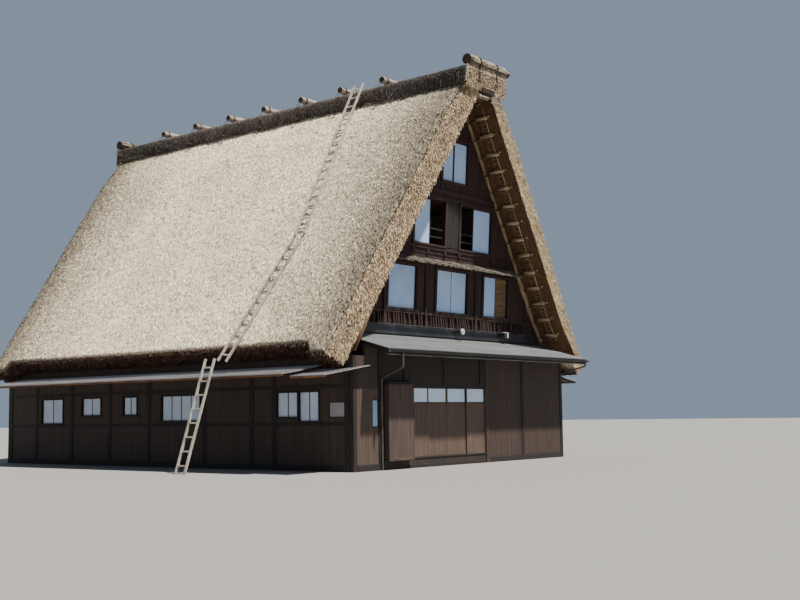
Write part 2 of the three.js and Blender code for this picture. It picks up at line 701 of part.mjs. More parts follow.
// The back gable has the same screens; those of one storey share the track that they slide on
function backRow(windows, head) {
  const inside = -gableBack + GAP;
  const x0 = Math.min(...windows.map((w) => w[0]));
  const x1 = Math.max(...windows.map((w) => w[1]));
  const rail = box(x0, x1, inside, inside + SASH_THICKNESS, head, head + TRACK_RAIL);
  const panels = windows.flatMap(([a, b, z0, z1]) => [
    box(a + GAP, b - GAP, sashFront, inside + SASH_THICKNESS, z0 + GAP, z1 - GAP),
    box(a + GAP, b - GAP, inside, inside + SASH_THICKNESS, z0 + GAP, z1 + 1),
  ]);
  return mirrored(splay(join([rail, ...panels])), 'y');
}

piece('back_top_screen', mirrored(topSash, 'y'), paper);
piece('back_middle_screens', backRow([middleLeft, middleRight], middleLeft[3]), paper);
piece('back_low_screens', backRow([lowLeft, lowMiddle, lowRight], lowLeft[3]), paper);

function pentRoof() {
  const back = -GABLE_FACE - GAP;
  const front = -GABLE_FACE - PENT_DEPTH;
  return splay(alongX([
    [front, PENT_EAVE_TOP - PENT_THICKNESS],
    [back, PENT_WALL_TOP - PENT_THICKNESS],
    [back, PENT_WALL_TOP],
    [front, PENT_EAVE_TOP],
  ], -PENT_HALF, PENT_HALF));
}

const frontPent = pentRoof();
piece('front_pent_roof', frontPent, greyWood);
piece('back_pent_roof', mirrored(frontPent, 'y'), greyWood);

const flashingFace = -GABLE_FACE - GAP - FLASHING.thickness;
piece('front_flashing', splay(box(-FLASHING.half, FLASHING.half, flashingFace, -GABLE_FACE - GAP,
  FLASHING.bottom, FLASHING.top)), darkMetal);

function floodlight(x) {
  const armEnd = flashingFace - GAP - FLOODLIGHT.arm;
  const half = FLOODLIGHT.armWidth / 2;
  return splay(join([
    box(x - half, x + half, armEnd - 1, flashingFace - GAP, FLOODLIGHT.z - half, FLOODLIGHT.z + half),
    box(x - FLOODLIGHT.width / 2, x + FLOODLIGHT.width / 2, armEnd - FLOODLIGHT.depth, armEnd,
      FLOODLIGHT.z - FLOODLIGHT.height / 2, FLOODLIGHT.z + FLOODLIGHT.height / 2),
  ]));
}

for (const [side, x] of Object.entries(FLOODLIGHTS)) {
  piece(`floodlight_${side}`, floodlight(x), paleMetal);
}

// Eave gutters with their pipes

function gutterChannel(left, right) {
  const steps = 10;
  const arc = (radius, i) => {
    const angle = Math.PI + (Math.PI * i) / steps;
    return [GUTTER_Y + radius * Math.cos(angle), GUTTER_TOP + radius * Math.sin(angle)];
  };
  const outer = Array.from({ length: steps + 1 }, (_, i) => arc(GUTTER_RADIUS, i));
  const inner = Array.from({ length: steps + 1 }, (_, i) => arc(GUTTER_RADIUS - GUTTER_WALL, steps - i));
  return alongX([...outer, ...inner], left, right);
}

function bentPath(points, radius) {
  const path = new THREE.CurvePath();
  let from = points[0];
  for (let i = 1; i < points.length - 1; i += 1) {
    const corner = points[i];
    const before = corner.clone().add(points[i - 1].clone().sub(corner).setLength(radius));
    const after = corner.clone().add(points[i + 1].clone().sub(corner).setLength(radius));
    path.add(new THREE.LineCurve3(from, before));
    path.add(new THREE.QuadraticBezierCurve3(before, corner, after));
    from = after;
  }
  path.add(new THREE.LineCurve3(from, points[points.length - 1]));
  return path;
}

function pipe({ gutterX, drop, elbow }, wallX, wallY) {
  const circle = new THREE.Shape();
  circle.absarc(0, 0, PIPE_RADIUS, 0, 2 * Math.PI);
  const start = GUTTER_TOP - GUTTER_RADIUS - GAP;
  const path = bentPath([
    new THREE.Vector3(gutterX, GUTTER_Y, start),
    new THREE.Vector3(gutterX, GUTTER_Y, start - drop),
    new THREE.Vector3(wallX, wallY, elbow),
    new THREE.Vector3(wallX, wallY, PIPE_FOOT),
  ], 55);
  const options = { steps: 60, extrudePath: path, curveSegments: 4, bevelEnabled: false };
  return new THREE.ExtrudeGeometry(circle, options);
}

const pipeStandOff = PIPE_RADIUS + 2 * GAP;
const cornerPipeY = FACE - POST_PROUD - pipeStandOff;
const rightPipeX = FRONT_CORNER + pipeStandOff;
piece('front_gutter', gutterChannel(LEAN_TO_LEFT, LEAN_TO_RIGHT), darkMetal);
piece('front_corner_pipe',
  pipe(CORNER_PIPE, CORNER_PIPE.wallX, cornerPipeY), darkMetal);
piece('front_right_pipe',
  pipe(RIGHT_PIPE, rightPipeX, RIGHT_PIPE.wallY), darkMetal);
piece('back_gutter', mirrored(gutterChannel(LEAN_TO_LEFT, -LEAN_TO_LEFT), 'y'), darkMetal);

// Ladders: two lie end to end on the left slope, one leans on the eave of the aisle roof

// The two given points lie on the underside, midway between the rails
function ladder(foot, head, outward) {
  const length = foot.distanceTo(head);
  const reach = (LADDER_WIDTH - LADDER_RAIL) / 2;
  const rails = [-reach, reach].map((x) =>
    box(x - LADDER_RAIL / 2, x + LADDER_RAIL / 2, 0, length, 0, LADDER_THICKNESS));
  const rungs = [];
  for (let y = RUNG_PITCH / 2; y < length - RUNG; y += RUNG_PITCH) {
    rungs.push(box(-reach, reach, y, y + RUNG, LADDER_THICKNESS * 0.2, LADDER_THICKNESS * 0.8));
  }
  const along = head.clone().sub(foot).normalize();
  const across = along.clone().cross(outward).normalize();
  const normal = across.clone().cross(along);
  const geometry = join([...rails, ...rungs]);
  geometry.applyMatrix4(new THREE.Matrix4().makeBasis(across, along, normal).setPosition(foot));
  return geometry;
}

const roofOutward = new THREE.Vector3(-OUTER_SLOPE, 0, 1);
const onSlope = ([z, y]) => new THREE.Vector3(-outerHalf(z) - 2 * GAP, y, z);

// The upper ladder rests on the thatch at its foot and on the shoulder of the ridge cap above
function upperLadder() {
  const foot = onSlope(UPPER_LADDER.foot);
  const [headZ, headY] = UPPER_LADDER.head;
  const slope = (CAP_SHOULDER_TOP - foot.z) / (-CAP_SHOULDER - 2 * GAP - foot.x);
  return ladder(foot, new THREE.Vector3(foot.x + (headZ - foot.z) / slope, headY, headZ), roofOutward);
}

function leaningLadder() {
  const { centre, head, slope } = LEANING_LADDER;
  const at = (z) => new THREE.Vector3(-AISLE_EAVE - 2 * GAP - slope * (AISLE_EAVE_TOP - z), centre, z);
  return ladder(at(0), at(head), new THREE.Vector3(-1, 0, slope));
}

piece('roof_ladder_upper', upperLadder(), greyWood);
piece('roof_ladder_lower',
  ladder(onSlope(LOWER_LADDER.foot), onSlope(LOWER_LADDER.head), roofOutward), greyWood);
piece('leaning_ladder', leaningLadder(), greyWood);

house.updateMatrixWorld(true);
const footprint = new THREE.Box3().setFromObject(house);
house.position.x = -(footprint.min.x + footprint.max.x) / 2;
house.position.y = -(footprint.min.y + footprint.max.y) / 2;

export default house;
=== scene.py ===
import math
import random
from functools import partial

import bmesh
import bpy
import numpy as np
from mathutils import Matrix, Vector


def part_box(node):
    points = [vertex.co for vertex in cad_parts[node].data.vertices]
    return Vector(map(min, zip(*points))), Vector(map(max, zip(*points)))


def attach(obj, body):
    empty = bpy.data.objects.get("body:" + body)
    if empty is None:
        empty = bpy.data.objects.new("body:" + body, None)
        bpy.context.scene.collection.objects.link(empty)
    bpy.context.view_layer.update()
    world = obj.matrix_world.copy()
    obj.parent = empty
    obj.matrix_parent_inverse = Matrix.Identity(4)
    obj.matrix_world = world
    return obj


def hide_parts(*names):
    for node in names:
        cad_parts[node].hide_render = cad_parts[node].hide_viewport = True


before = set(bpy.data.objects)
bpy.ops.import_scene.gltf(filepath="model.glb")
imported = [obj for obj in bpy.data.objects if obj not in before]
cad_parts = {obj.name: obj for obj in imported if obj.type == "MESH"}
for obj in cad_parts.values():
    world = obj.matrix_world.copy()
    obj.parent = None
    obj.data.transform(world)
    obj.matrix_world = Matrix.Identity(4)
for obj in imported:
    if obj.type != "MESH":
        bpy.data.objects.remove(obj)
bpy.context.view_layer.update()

# A steep thatched farmhouse. X runs across the gable, Y along the ridge, the front gable faces -Y.
# Everything is in metres. The house is drawn about its own centre line; CENTRE is where that line
# stands in the frame.

CENTRE = (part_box("left_thatch")[0].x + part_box("right_thatch")[1].x) / 2
ENDS = {-1: "front", 1: "back"}
SIDES = {-1: "left", 1: "right"}

CAMERA_PLACE = (-28.329, -27.744, 1.531)
CAMERA_YAW = 0.901
CAMERA_PITCH = 0.1
CAMERA_ROLL = -0.014
CAMERA_LENS = 50.93
KEY_STRENGTH = 9.8
KEY_SOFTNESS = 0.035
KEY_TURN = math.radians(15)
KEY_HEIGHT = math.radians(67)
KEY_COLOUR = (1.0, 0.95, 0.88)
SKY_STRENGTH = 0.38
SKY_COLOUR = (0.62, 0.77, 1.0, 1)
FLOOR_REACH = 150

# Both gable ends lean outwards as they rise
HALF_LENGTH = 8.0
LEAN = 0.065
LEAN_FROM = 4.6

# Thatch: metres up the slope from the eave, with the outer and the inner line there
SLOPE_UP = (0, 8.44, 9.98, 10.37, 11.37)
OUTER_X = (6.68, 1.99, 1.0, 1.0, 0.0)
OUTER_Z = (3.468, 10.484, 11.662, 12.05, 12.05)
INNER_X = (6.0, 1.25, 0.45, 0.347, 0.0)
INNER_Z = (3.096, 10.031, 11.199, 11.35, 11.35)
INNER_APEX = 11.856
INNER_SLOPE = 1.46
LOWER_SLOPE = 1.496
UPPER_SLOPE = 1.19
UPPER_SLOPE_FROM = 8.44
THATCH_DEPTH = 0.9
VERGE_ROUND = 0.34
EAVE_ROUND = 0.14
TAIL_REACH = 0.2
TAIL_WIDTH = 0.83
TAIL_HEIGHT = 0.9
TAIL_DROP = 1.48
# A metre along the lower slope goes this far across and this far up, outside and inside
SLOPE_ACROSS = 0.556
SLOPE_RISE = 0.831
INNER_ACROSS = 0.565
INNER_RISE = 0.825
# Streaks per metre across and along the straw: about four straws wide, so that they show
STRAW_STREAKS = (19, 8, 1)
# Loose straws on each slope, at each end's verges, along an eave and on the ridge
SLOPE_STRAWS = {-1: 46000, 1: 11000}
VERGE_STRAWS = {-1: 6500, 1: 4500}
EAVE_STRAWS = 5000
RIDGE_STRAWS = 12000
RIDGE_END_STRAWS = 1800

# Ridge cap: metres round its section from its top, with the outside and the underside there
CAP_ROUND = (-1.73, -1.06, -0.5, 0, 0.5, 1.06, 1.73)
CAP_X = (-1.13, -1.06, -0.5, 0, 0.5, 1.06, 1.13)
CAP_Z = (11.507, 12.17, 12.235, 12.25, 12.235, 12.17, 11.507)
CAP_UNDER_X = (-1.0, -1.0, -0.5, 0, 0.5, 1.0, 1.0)
CAP_UNDER_Z = (11.663, 12.051, 12.051, 12.051, 12.051, 12.051, 11.663)
CAP_HALF_ROUND = 1.73
CAP_DEPTH = 0.2
CAP_END_REACH = 0.05
ROLL_PLACES = [-5.05 + 1.81 * i for i in range(7)]
ROLL_HEIGHT = 12.35
ROLL_RADIUS = 0.12
ROLL_HALF = 0.95
TIE_LOG_HEIGHT = 11.63
END_ROLL_PLACE = 8.453
END_ROLL_HEIGHT = 12.33
END_ROLL_SHIFT = 0.13
END_ROLL_RADIUS = 0.18
END_ROLL_HALF = 1.12
END_ROLL_STICKS = 17
END_ROLL_TIES = (-0.56, 0.39)

# Under the verges
FRAME_FOOT = 3.95
FRAME_HEAD = 11.15
WALL_POLE = 6.948
INNER_LINE = 7.38
OUTER_POLE = 7.6
# Each pole's place, its radius above and below, how far it stands out, and its tone
VERGE_POLES = ((WALL_POLE, 0.055, 0.0825, 0.06, 0.6), (INNER_LINE, 0.012, 0.012, 0.05, 0.1),
               (OUTER_POLE, 0.022, 0.022, 0.07, 0.7))
THICK_BELOW = 6.0
BAR_COUNT = 14
BAR_STEP = (FRAME_HEAD - FRAME_FOOT) / BAR_COUNT
REED_FIRST = 6.93
REED_STEP = 0.042
REED_COUNT = 26
REED_RADIUS = 0.026

# Gable walls. A window is left, right, sill and head
GABLE_FACE = 6.9
GABLE_WINDOWS = {
    "top": (-0.62, 0.7, 8.8, 10.1),
    "middle_left": (-1.96, -0.43, 6.72, 8.11),
    "middle_right": (0.43, 2.14, 6.72, 8.11),
    "low_left": (-3.12, -1.77, 4.66, 5.98),
    "low_middle": (-0.74, 0.9, 4.66, 5.98),
    "low_right": (1.83, 3.26, 4.66, 5.98),
}
STOREYS = {"low": (4.53, 6.2), "middle": (6.42, 8.33), "top": (8.46, 11.2)}
OCHRE_FROM = 2.6
PAPER_SPANS = {"middle_left": (-1.96, -1.13), "middle_right": (1.18, 2.14), "low_right": (1.83, OCHRE_FROM)}
OPEN_SPANS = ((-1.13, -0.43), (0.43, 1.18))
SCREEN_SEAMS = {"top": (-0.04, 0.04), "low_middle": (0.084, 0.096)}
BACK_SCREENS = {"top": "back_top_screen", "middle_left": "back_middle_screens",
                "low_left": "back_low_screens"}
# Rails across the storeys, with how proud they stand, and the posts and the short struts between them
GABLE_RAILS = ((4.56, 0.05), (6.08, 0.04), (6.6, 0.05), (8.22, 0.05), (8.7, 0.05), (10.25, 0.04))
GABLE_POSTS = (-4.35, -3.3, -1.3, 1.36, 3.42, 4.35)
GABLE_STRUTS = (-3.6, -2.7, -1.25, 1.36, 2.7, 3.6)
GUARD_RAILS = (6.97, 7.22)
PLANK_STEP = 0.19
SLAT_FOOT = 4.165
SLAT_TOP = 4.52
SLAT_REACH = 4.55
SLAT_STEPS = (0.1, 0.13, 0.13, 0.24)
PENT_BACK = 6.9003
PENT_FRONT = 7.48
PENT_WALL_TOP = 6.29
PENT_EAVE_TOP = 6.03
PENT_HALF = 3.4
PENT_BATTENS = (6.98, 7.2, 7.42)

# Lean-to roofs
LEAN_TO_EAVE = 8.83
LEAN_TO_WALL = 6.829
LEAN_TO_EAVE_TOP = 3.29
LEAN_TO_SLOPE = 0.28
LEAN_TO_THICK = 0.09
LEAN_TO_LEFT = -5.45
LEAN_TO_RIGHT = 5.2
AISLE_SLOPE = 0.155
AISLE_THICK = 0.08
AISLE_WALL = 5.9603
SHEET_COURSE = 0.152
SHEET_STEP = 0.013
RAFTER_PITCH = 0.46

# Ground storey. A side window is its left end, width and sill
FACE = 8.0
SIDE_FACE = 5.96
RETURN_FACE = 4.89
RETURN_BACK = 7.1
WALL_TOP = 3.1
CORNER = 5.955
CORNER_POST = 4.83
DOOR_LEFT = -3.56
DOOR_RIGHT = 0.29
DOOR_HEAD = 2.28
RAIL_FOOT = 1.81
PANE_LOW = 1.85
PANE_HIGH = 2.24
STILE = 0.045
BOX = (-4.67, -3.53, 0.24, 2.35)
BOX_DEPTH = 0.19
WINDOW_HEAD = 2.15
NARROW_WINDOW = (-5.15, -4.94, 1.19, 1.9)
PORCH_WINDOW = (-7.88, -7.2, 1.47, 1.85)
SIDE_WINDOWS = ((-6.79, 0.74, 1.36), (-6.01, 0.81, 1.48), (-1.99, 1.74, 1.41), (0.95, 0.66, 1.61),
                (2.78, 0.98, 1.61), (4.82, 1.18, 1.36))
SIDE_HOLES = [(y, y + width, sill, WINDOW_HEAD) for y, width, sill in SIDE_WINDOWS]
BACK_HOLES = [(left, right, 1.4, WINDOW_HEAD) for left, right in ((-4.2, -3.05), (-0.6, 0.6), (3.05, 4.2))]
LEAN_TO_UNDER = LEAN_TO_EAVE_TOP + LEAN_TO_SLOPE * (LEAN_TO_EAVE - FACE) - LEAN_TO_THICK - 0.004
BOARD_FOOT = 0.18
# Up to here the front wing's low boards take the lighter corner finish: painted sunlight
SUNLIT_TOP = 2.2
SIDE_TOP = 2.79
PLINTH_TOP = 0.16
POST_HALF = 0.075
RAIL_HALF = 0.05
SIDE_POSTS = (-5.1, -4.2, -2.2, 0.35, 2.3, 4.3, 6.3, 7.8)
BACK_POSTS = (-5.88, -4.6, -2.6, -0.9, 0.9, 2.6, 4.6, 5.88)
# Boards are their width and thickness, and the seam is half the gap between two
SEAM = 0.002
END_BOARDS = (0.125, 0.014)
SIDE_BOARDS = (0.15, 0.016)
# How the corners of a block on a wall are ordered, by the wall's axis and the side that it faces
CORNER_ORDER = {(0, -1): (2, 3, 0, 1, 6, 7, 4, 5), (0, 1): (0, 1, 2, 3, 4, 5, 6, 7),
                (1, -1): (0, 2, 1, 3, 4, 6, 5, 7), (1, 1): (2, 0, 3, 1, 6, 4, 7, 5)}

chance = random.Random(11)


# Meshes

def placed(name, data):
    made = bpy.data.objects.new(name, data)
    bpy.context.scene.collection.objects.link(made)
    return made


def new_mesh(name, points, faces, **values):
    """A mesh with further values at its points: a number or a direction at each."""
    mesh = bpy.data.meshes.new(name)
    mesh.from_pydata(points, [], faces)
    for key, column in values.items():
        column = np.asarray(column, np.float32)
        kind, field = ("FLOAT", "value") if column.ndim == 1 else ("FLOAT_VECTOR", "vector")
        mesh.attributes.new(key, kind, "POINT").data.foreach_set(field, column.ravel())
    return mesh


def show(name, mesh, material, slot, body="house", smooth=False, bevel=0.0, replaced=None):
    """Shows a mesh as a piece that rides on a body, and stands for a piece of the frame if one is named."""
    piece = placed(name, mesh)
    mesh.materials.append(material)
    if smooth:
        mesh.shade_smooth()
    if bevel:
        edges = piece.modifiers.new("worn edges", "BEVEL")
        edges.width = bevel
        edges.segments = 1
        edges.limit_method = "ANGLE"
        edges.angle_limit = math.radians(40)
    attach(piece, body)
    if replaced:
        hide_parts(replaced)


def soft_noise(u, v, seed):
    """Smooth random heights from 0 to 1; one lump is one unit of u and v."""
    table = np.random.default_rng(seed).random((256, 256))
    column = np.floor(u).astype(int)
    row = np.floor(v).astype(int)
    across = ramp(u - column, 0, 1)
    along = ramp(v - row, 0, 1)

    def level(step):
        return (table[column % 256, (row + step) % 256] * (1 - across)
                + table[(column + 1) % 256, (row + step) % 256] * across)

    return level(0) * (1 - along) + level(1) * along


def ramp(value, start, end):
    share = np.clip((value - start) / (end - start), 0, 1)
    return share * share * (3 - 2 * share)


def rounded_corner(a, b, radius):
    """Moves points that lie on either of two meeting faces onto the round corner between them."""
    depth_a = radius - a
    depth_b = radius - b
    reach = np.hypot(depth_a, depth_b)
    inside = (depth_a > 0) & (depth_b > 0) & (reach > radius)
    shrink = np.where(inside, radius / np.maximum(reach, 1e-9), 1)
    return radius - depth_a * shrink, radius - depth_b * shrink


def gable_line(z):
    """Half the length of the roof at a height."""
    return HALF_LENGTH + LEAN * (z - LEAN_FROM)


class Skin:
    """A mesh of point grids that are joined where their edges meet."""

    def __init__(self):
        self.points = []
        self.faces = []
        self.lie = []
        self.count = 0

    def grid(self, points, lie, flip=False):
        rows, columns = points.shape[:2]
        index = np.arange(rows * columns).reshape(rows, columns) + self.count
        quads = np.stack([index[:-1, :-1], index[1:, :-1], index[1:, 1:], index[:-1, 1:]], -1).reshape(-1, 4)
        self.points.append(points.reshape(-1, 3))
        self.lie.append(lie.reshape(-1, 3))
        self.faces.append(quads[:, ::-1] if flip else quads)
        self.count += rows * columns

    def mesh(self, name):
        points = np.concatenate(self.points)
        points[:, 0] += CENTRE
        made = new_mesh(name, points.tolist(), np.concatenate(self.faces).tolist(),
                        lie=np.concatenate(self.lie))
        joined = bmesh.new()
        joined.from_mesh(made)
        bmesh.ops.remove_doubles(joined, verts=joined.verts, dist=0.0002)
        joined.to_mesh(made)
        joined.free()
        return made


class Stock:
    """Lengths of one material that are shown together as one piece."""

    def __init__(self, lean=False):
        self.points = []
        self.faces = []
        self.grain = []
        self.tone = []
        self.lean = lean

    def add(self, points, faces, grain, tone=None):
        first = len(self.points)
        shade = chance.random() if tone is None else tone
        start = Vector([chance.random() * 40 for _ in range(3)])
        for point, place in zip(points, grain):
            self.points.append(tuple(point))
            self.grain.append(tuple(start + Vector(place)))
            self.tone.append(shade)
        self.faces += [[first + corner for corner in face] for face in faces]

    def block(self, low, high, along=2, tone=None):
        corners = [[(low, high)[(i >> axis) & 1][axis] for axis in range(3)] for i in range(8)]
        self.hexahedron(corners, along, tone)

    def hexahedron(self, corners, along=2, tone=None):
        """Eight corners: X changes first, then Y, then Z. The grain runs along the given axis."""
        order = {0: (1, 2, 0), 1: (0, 2, 1), 2: (0, 1, 2)}[along]
        faces = [(0, 2, 3, 1), (4, 5, 7, 6), (0, 1, 5, 4), (2, 6, 7, 3), (0, 4, 6, 2), (1, 3, 7, 5)]
        self.add(corners, faces, [[corner[axis] for axis in order] for corner in corners], tone)

    def rod(self, path, radii, sides=10, tone=None, knobbly=0.0):
        """A round length along a path. Radii is one value, or one for each point of the path."""
        path = [Vector(point) for point in path]
        radii = radii if isinstance(radii, list) else [radii] * len(path)
        points = []
        grain = []
        travelled = 0.0
        side = None
        for i, (centre, radius) in enumerate(zip(path, radii)):
            ahead = (path[min(i + 1, len(path) - 1)] - path[max(i - 1, 0)]).normalized()
            side = side or ahead.orthogonal()
            side = (side - ahead * side.dot(ahead)).normalized()
            other = ahead.cross(side)
            travelled += (centre - path[max(i - 1, 0)]).length
            for k in range(sides):
                angle = math.tau * k / sides
                reach = radius * (1 + knobbly * (chance.random() - 0.5))
                points.append(centre + (side * math.cos(angle) + other * math.sin(angle)) * reach)
                grain.append((math.cos(angle) * radius, math.sin(angle) * radius, travelled))
        faces = []
        for a in range(len(points) - sides):
            b = a + 1 if (a + 1) % sides else a + 1 - sides
            faces.append((a, b, b + sides, a + sides))
        faces += [tuple(range(sides))[::-1], tuple(range(len(points) - sides, len(points)))]
        self.add(points, faces, grain, tone)

    def coil(self, centre, axis, radius, thickness, turns, pitch, sides=6):
        """A rope wound round an axis."""
        axis = Vector(axis).normalized()
        side = axis.orthogonal().normalized()
        other = axis.cross(side)
        steps = int(16 * turns)
        path = []
        for i in range(steps + 1):
            angle = math.tau * turns * i / steps
            lift = axis * (pitch * (i / steps - 0.5) * turns)
            path.append(Vector(centre) + (side * math.cos(angle) + other * math.sin(angle)) * radius + lift)
        self.rod(path, thickness, sides)

    def shown(self, name, material, slot, **kept):
        points = [(x + CENTRE, leaned(y, z) if self.lean else y, z) for x, y, z in self.points]
        mesh = new_mesh(name, points, self.faces, grain=self.grain, tone=self.tone)
        show(name, mesh, material, slot, **kept)


def stocks(count, lean=False):
    return [Stock(lean) for _ in range(count)]


def leaned(y, z):
    return y + math.copysign(LEAN * (z - LEAN_FROM), y)


# Materials

TINT = {"Factor": 1.0, "data_type": "RGBA", "blend_type": "MULTIPLY"}


def colour(text):
    """An sRGB hex colour as linear light."""
    parts = [int(text[i:i + 2], 16) / 255 for i in (0, 2, 4)]
    return (*[p / 12.92 if p <= 0.04045 else ((p + 0.055) / 1.055) ** 2.4 for p in parts], 1)


def fill(tree, made, *ordered, **named):
    """Fills inputs in order and by name, with values or links; a node stands for its first output in use."""
    for key, value in [*enumerate(ordered), *named.items()]:
        socket = made.inputs[key if isinstance(key, int) else key.replace("_", " ")]
        if isinstance(value, bpy.types.Node):
            value = next(output for output in value.outputs if output.enabled)
        if isinstance(value, bpy.types.NodeSocket):
            tree.links.new(value, socket)
        else:
            socket.default_value = value


def node(tree, kind, *ordered, stops=(), **named):
    """Adds a node. Names in small letters are settings and the others inputs; stops are for a ramp."""
    made = tree.nodes.new("ShaderNode" + kind)
    for key in [key for key in named if key.islower()]:
        setattr(made, key, named.pop(key))
    fill(tree, made, *ordered, **named)
    for i, (place, shade) in enumerate(stops):
        elements = made.color_ramp.elements
        element = elements[i] if i < 2 else elements.new(place)
        element.position = place
        element.color = colour(shade)
    return made


def new_material(name, roughness, metallic=0.0, ior=1.5):
    """Gives the material, with what adds a node to it and what fills its shader."""
    made = bpy.data.materials.new(name)
    made.use_nodes = True
    tree = made.node_tree
    finish = partial(fill, tree, tree.nodes["Principled BSDF"])
    finish(Roughness=roughness, Metallic=metallic, IOR=ior)
    return made, partial(node, tree), finish


def thatch_finish(name, straws, cut_ends):
    """Cut and weathered reed. The mesh says how far along the ridge each point lies, how far up, and how
    freshly cut it is, or below nought how much painted shade it takes at the eave, where it turns dark
    reddish brown. It is darker towards the verges: painted shade of the rounded verges."""
    made, add, finish = new_material(name, 0.9, ior=1.45)
    lie = add("Attribute", attribute_name="lie").outputs["Vector"]
    along, up, cut_and_eave_shade = add("SeparateXYZ", lie).outputs
    flat = add("CombineXYZ", along, up)
    down = add("Mapping", flat, Scale=STRAW_STREAKS)
    streaks = add("TexNoise", down, Scale=1.0, Detail=3.0, Roughness=0.65, Distortion=0.5)
    aslant = add("Mapping", flat, Rotation=(0, 0, 0.7), Scale=STRAW_STREAKS)
    crossing = add("TexNoise", aslant, Scale=1.0, Detail=3.0, Roughness=0.65)
    patches = add("TexNoise", flat, Scale=0.5, Detail=5.0, Roughness=0.65)
    mingled = add("Mix", Factor=0.45, A=streaks, B=crossing)
    weathered = add("ValToRGB", mingled, stops=zip((0.35, 0.44, 0.53, 0.63), straws.split()))
    cut = add("ValToRGB", mingled, stops=zip((0.32, 0.5, 0.68), cut_ends.split()))
    from_middle = add("Math", along, operation="ABSOLUTE")
    # Painted shade: darker towards the verges, where the rounded edge turns from the light, and brighter in
    # the middle of the slope
    near_verge = add("MapRange", from_middle, 3.0, 8.4, 1.55, 0.38, interpolation_type="SMOOTHSTEP")
    verge_shaded = add("Mix", A=weathered, B=near_verge, **TINT)
    mended = add("Mix", Factor=cut_and_eave_shade, A=verge_shaded, B=cut, data_type="RGBA")
    age = add("MapRange", patches, 0.3, 0.7, 0.72, 1.2)
    aged = add("Mix", A=mended, B=age, **TINT)
    # Painted shade under the eave: below nought the colour is multiplied towards dark reddish brown
    out_of_eave_shade = add("Math", cut_and_eave_shade, 1.0, operation="ADD")
    eave_shade_tint = add("ValToRGB", out_of_eave_shade, stops=((0.0, "5a4035"), (1.0, "ffffff")))
    finish(Base_Color=add("Mix", A=aged, B=eave_shade_tint, **TINT),
           Normal=add("Bump", Height=mingled, Strength=0.9, Distance=0.05))
    return made


def straw_finish(name, shades, mottle=(0.8, 1.15), lumps=30.0):
    """Loose straws: each has its own shade between the given ones, and is mottled along its length."""
    made, add, finish = new_material(name, 0.85, ior=1.45)
    tone = add("Attribute", attribute_name="tone").outputs["Fac"]
    shade = add("ValToRGB", tone, stops=zip((0.0, 0.35, 0.7, 1.0), shades.split()))
    soft = add("MapRange", add("TexNoise", Scale=lumps), 0.3, 0.7, *mottle)
    finish(Base_Color=add("Mix", A=shade, B=soft, **TINT))
    return made


def wood_finish(name, shades, grain_scale=(38, 38, 2.4), roughness=0.8, depth=0.002, axis=None,
                streaky=0.25, by_board=(0.78, 1.22)):
    """Sawn or split wood. Shades go from the dark of the grain to its light. The grain scale is lines
    per metre across, and waves along; it is drawn a few times coarser than the real 3 mm grain.
    Pieces from the frame have no lie of their own, so an axis order gives theirs."""
    made, add, finish = new_material(name, roughness)
    if axis is None:
        place = add("Attribute", attribute_name="grain").outputs["Vector"]
        tone = add("Attribute", attribute_name="tone").outputs["Fac"]
    else:
        spot = add("TexCoord").outputs["Object"]
        parts = add("SeparateXYZ", spot).outputs
        place = add("CombineXYZ", *[parts[i] for i in axis])
        tone = add("TexNoise", spot, Scale=0.8, Detail=1.0)
    grain = add("TexNoise", add("Mapping", place, Scale=grain_scale), Scale=1.0, Detail=5.0, Roughness=0.6,
                Distortion=0.35)
    stain = add("TexNoise", add("Mapping", place, Scale=(5, 5, 0.8)), Scale=1.0, Detail=3.0)
    shade = add("ValToRGB", grain, stops=zip((0.32, 0.5, 0.7), shades.split()))
    board = add("MapRange", tone, 0, 1, *by_board)
    streak = add("MapRange", stain, 0.3, 0.7, 1 - streaky, 1 + streaky)
    both = add("Math", board, streak, operation="MULTIPLY")
    finish(Base_Color=add("Mix", A=shade, B=both, **TINT),
           Roughness=add("MapRange", grain, 0, 1, roughness - 0.12, min(1.0, roughness + 0.12)),
           Normal=add("Bump", Height=grain, Strength=0.6, Distance=depth))
    return made


def stained_board(name, shades, roughness=0.75, spread=0.07, grain_scale=(22, 22, 1.2)):
    """Dark-stained cedar of the ground storey: fine, even grain, and boards that differ little."""
    return wood_finish(name, shades, grain_scale, roughness, streaky=0.12, by_board=(1 - spread, 1 + spread))


def sheet_finish(name, shades, roughness=0.5, scale=1.6, drawn_out=(1, 1, 1), in_courses=False):
    """Painted or weathered sheet metal: dull, with soft stains, which may be drawn out into lines. Where
    it is laid in courses, each has weathered to its own tone."""
    made, add, finish = new_material(name, roughness)
    spot = add("TexCoord").outputs["Object"]
    lines = add("Mapping", spot, Scale=drawn_out)
    clouds = add("TexNoise", lines, Scale=scale, Detail=6.0, Roughness=0.6)
    mixed = add("Mix", Factor=0.3, A=clouds, B=add("TexNoise", spot, Scale=35.0))
    base = add("ValToRGB", mixed, stops=zip((0.36, 0.5, 0.64), shades.split()))
    if in_courses:
        tone = add("Attribute", attribute_name="tone").outputs["Fac"]
        base = add("Mix", A=base, B=add("MapRange", tone, 0, 1, 0.8, 1.08), **TINT)
    finish(Base_Color=base, Roughness=add("MapRange", mixed, 0.3, 0.7, roughness + 0.12, roughness - 0.1),
           Normal=add("Bump", Height=mixed, Strength=0.25, Distance=0.004))
    return made


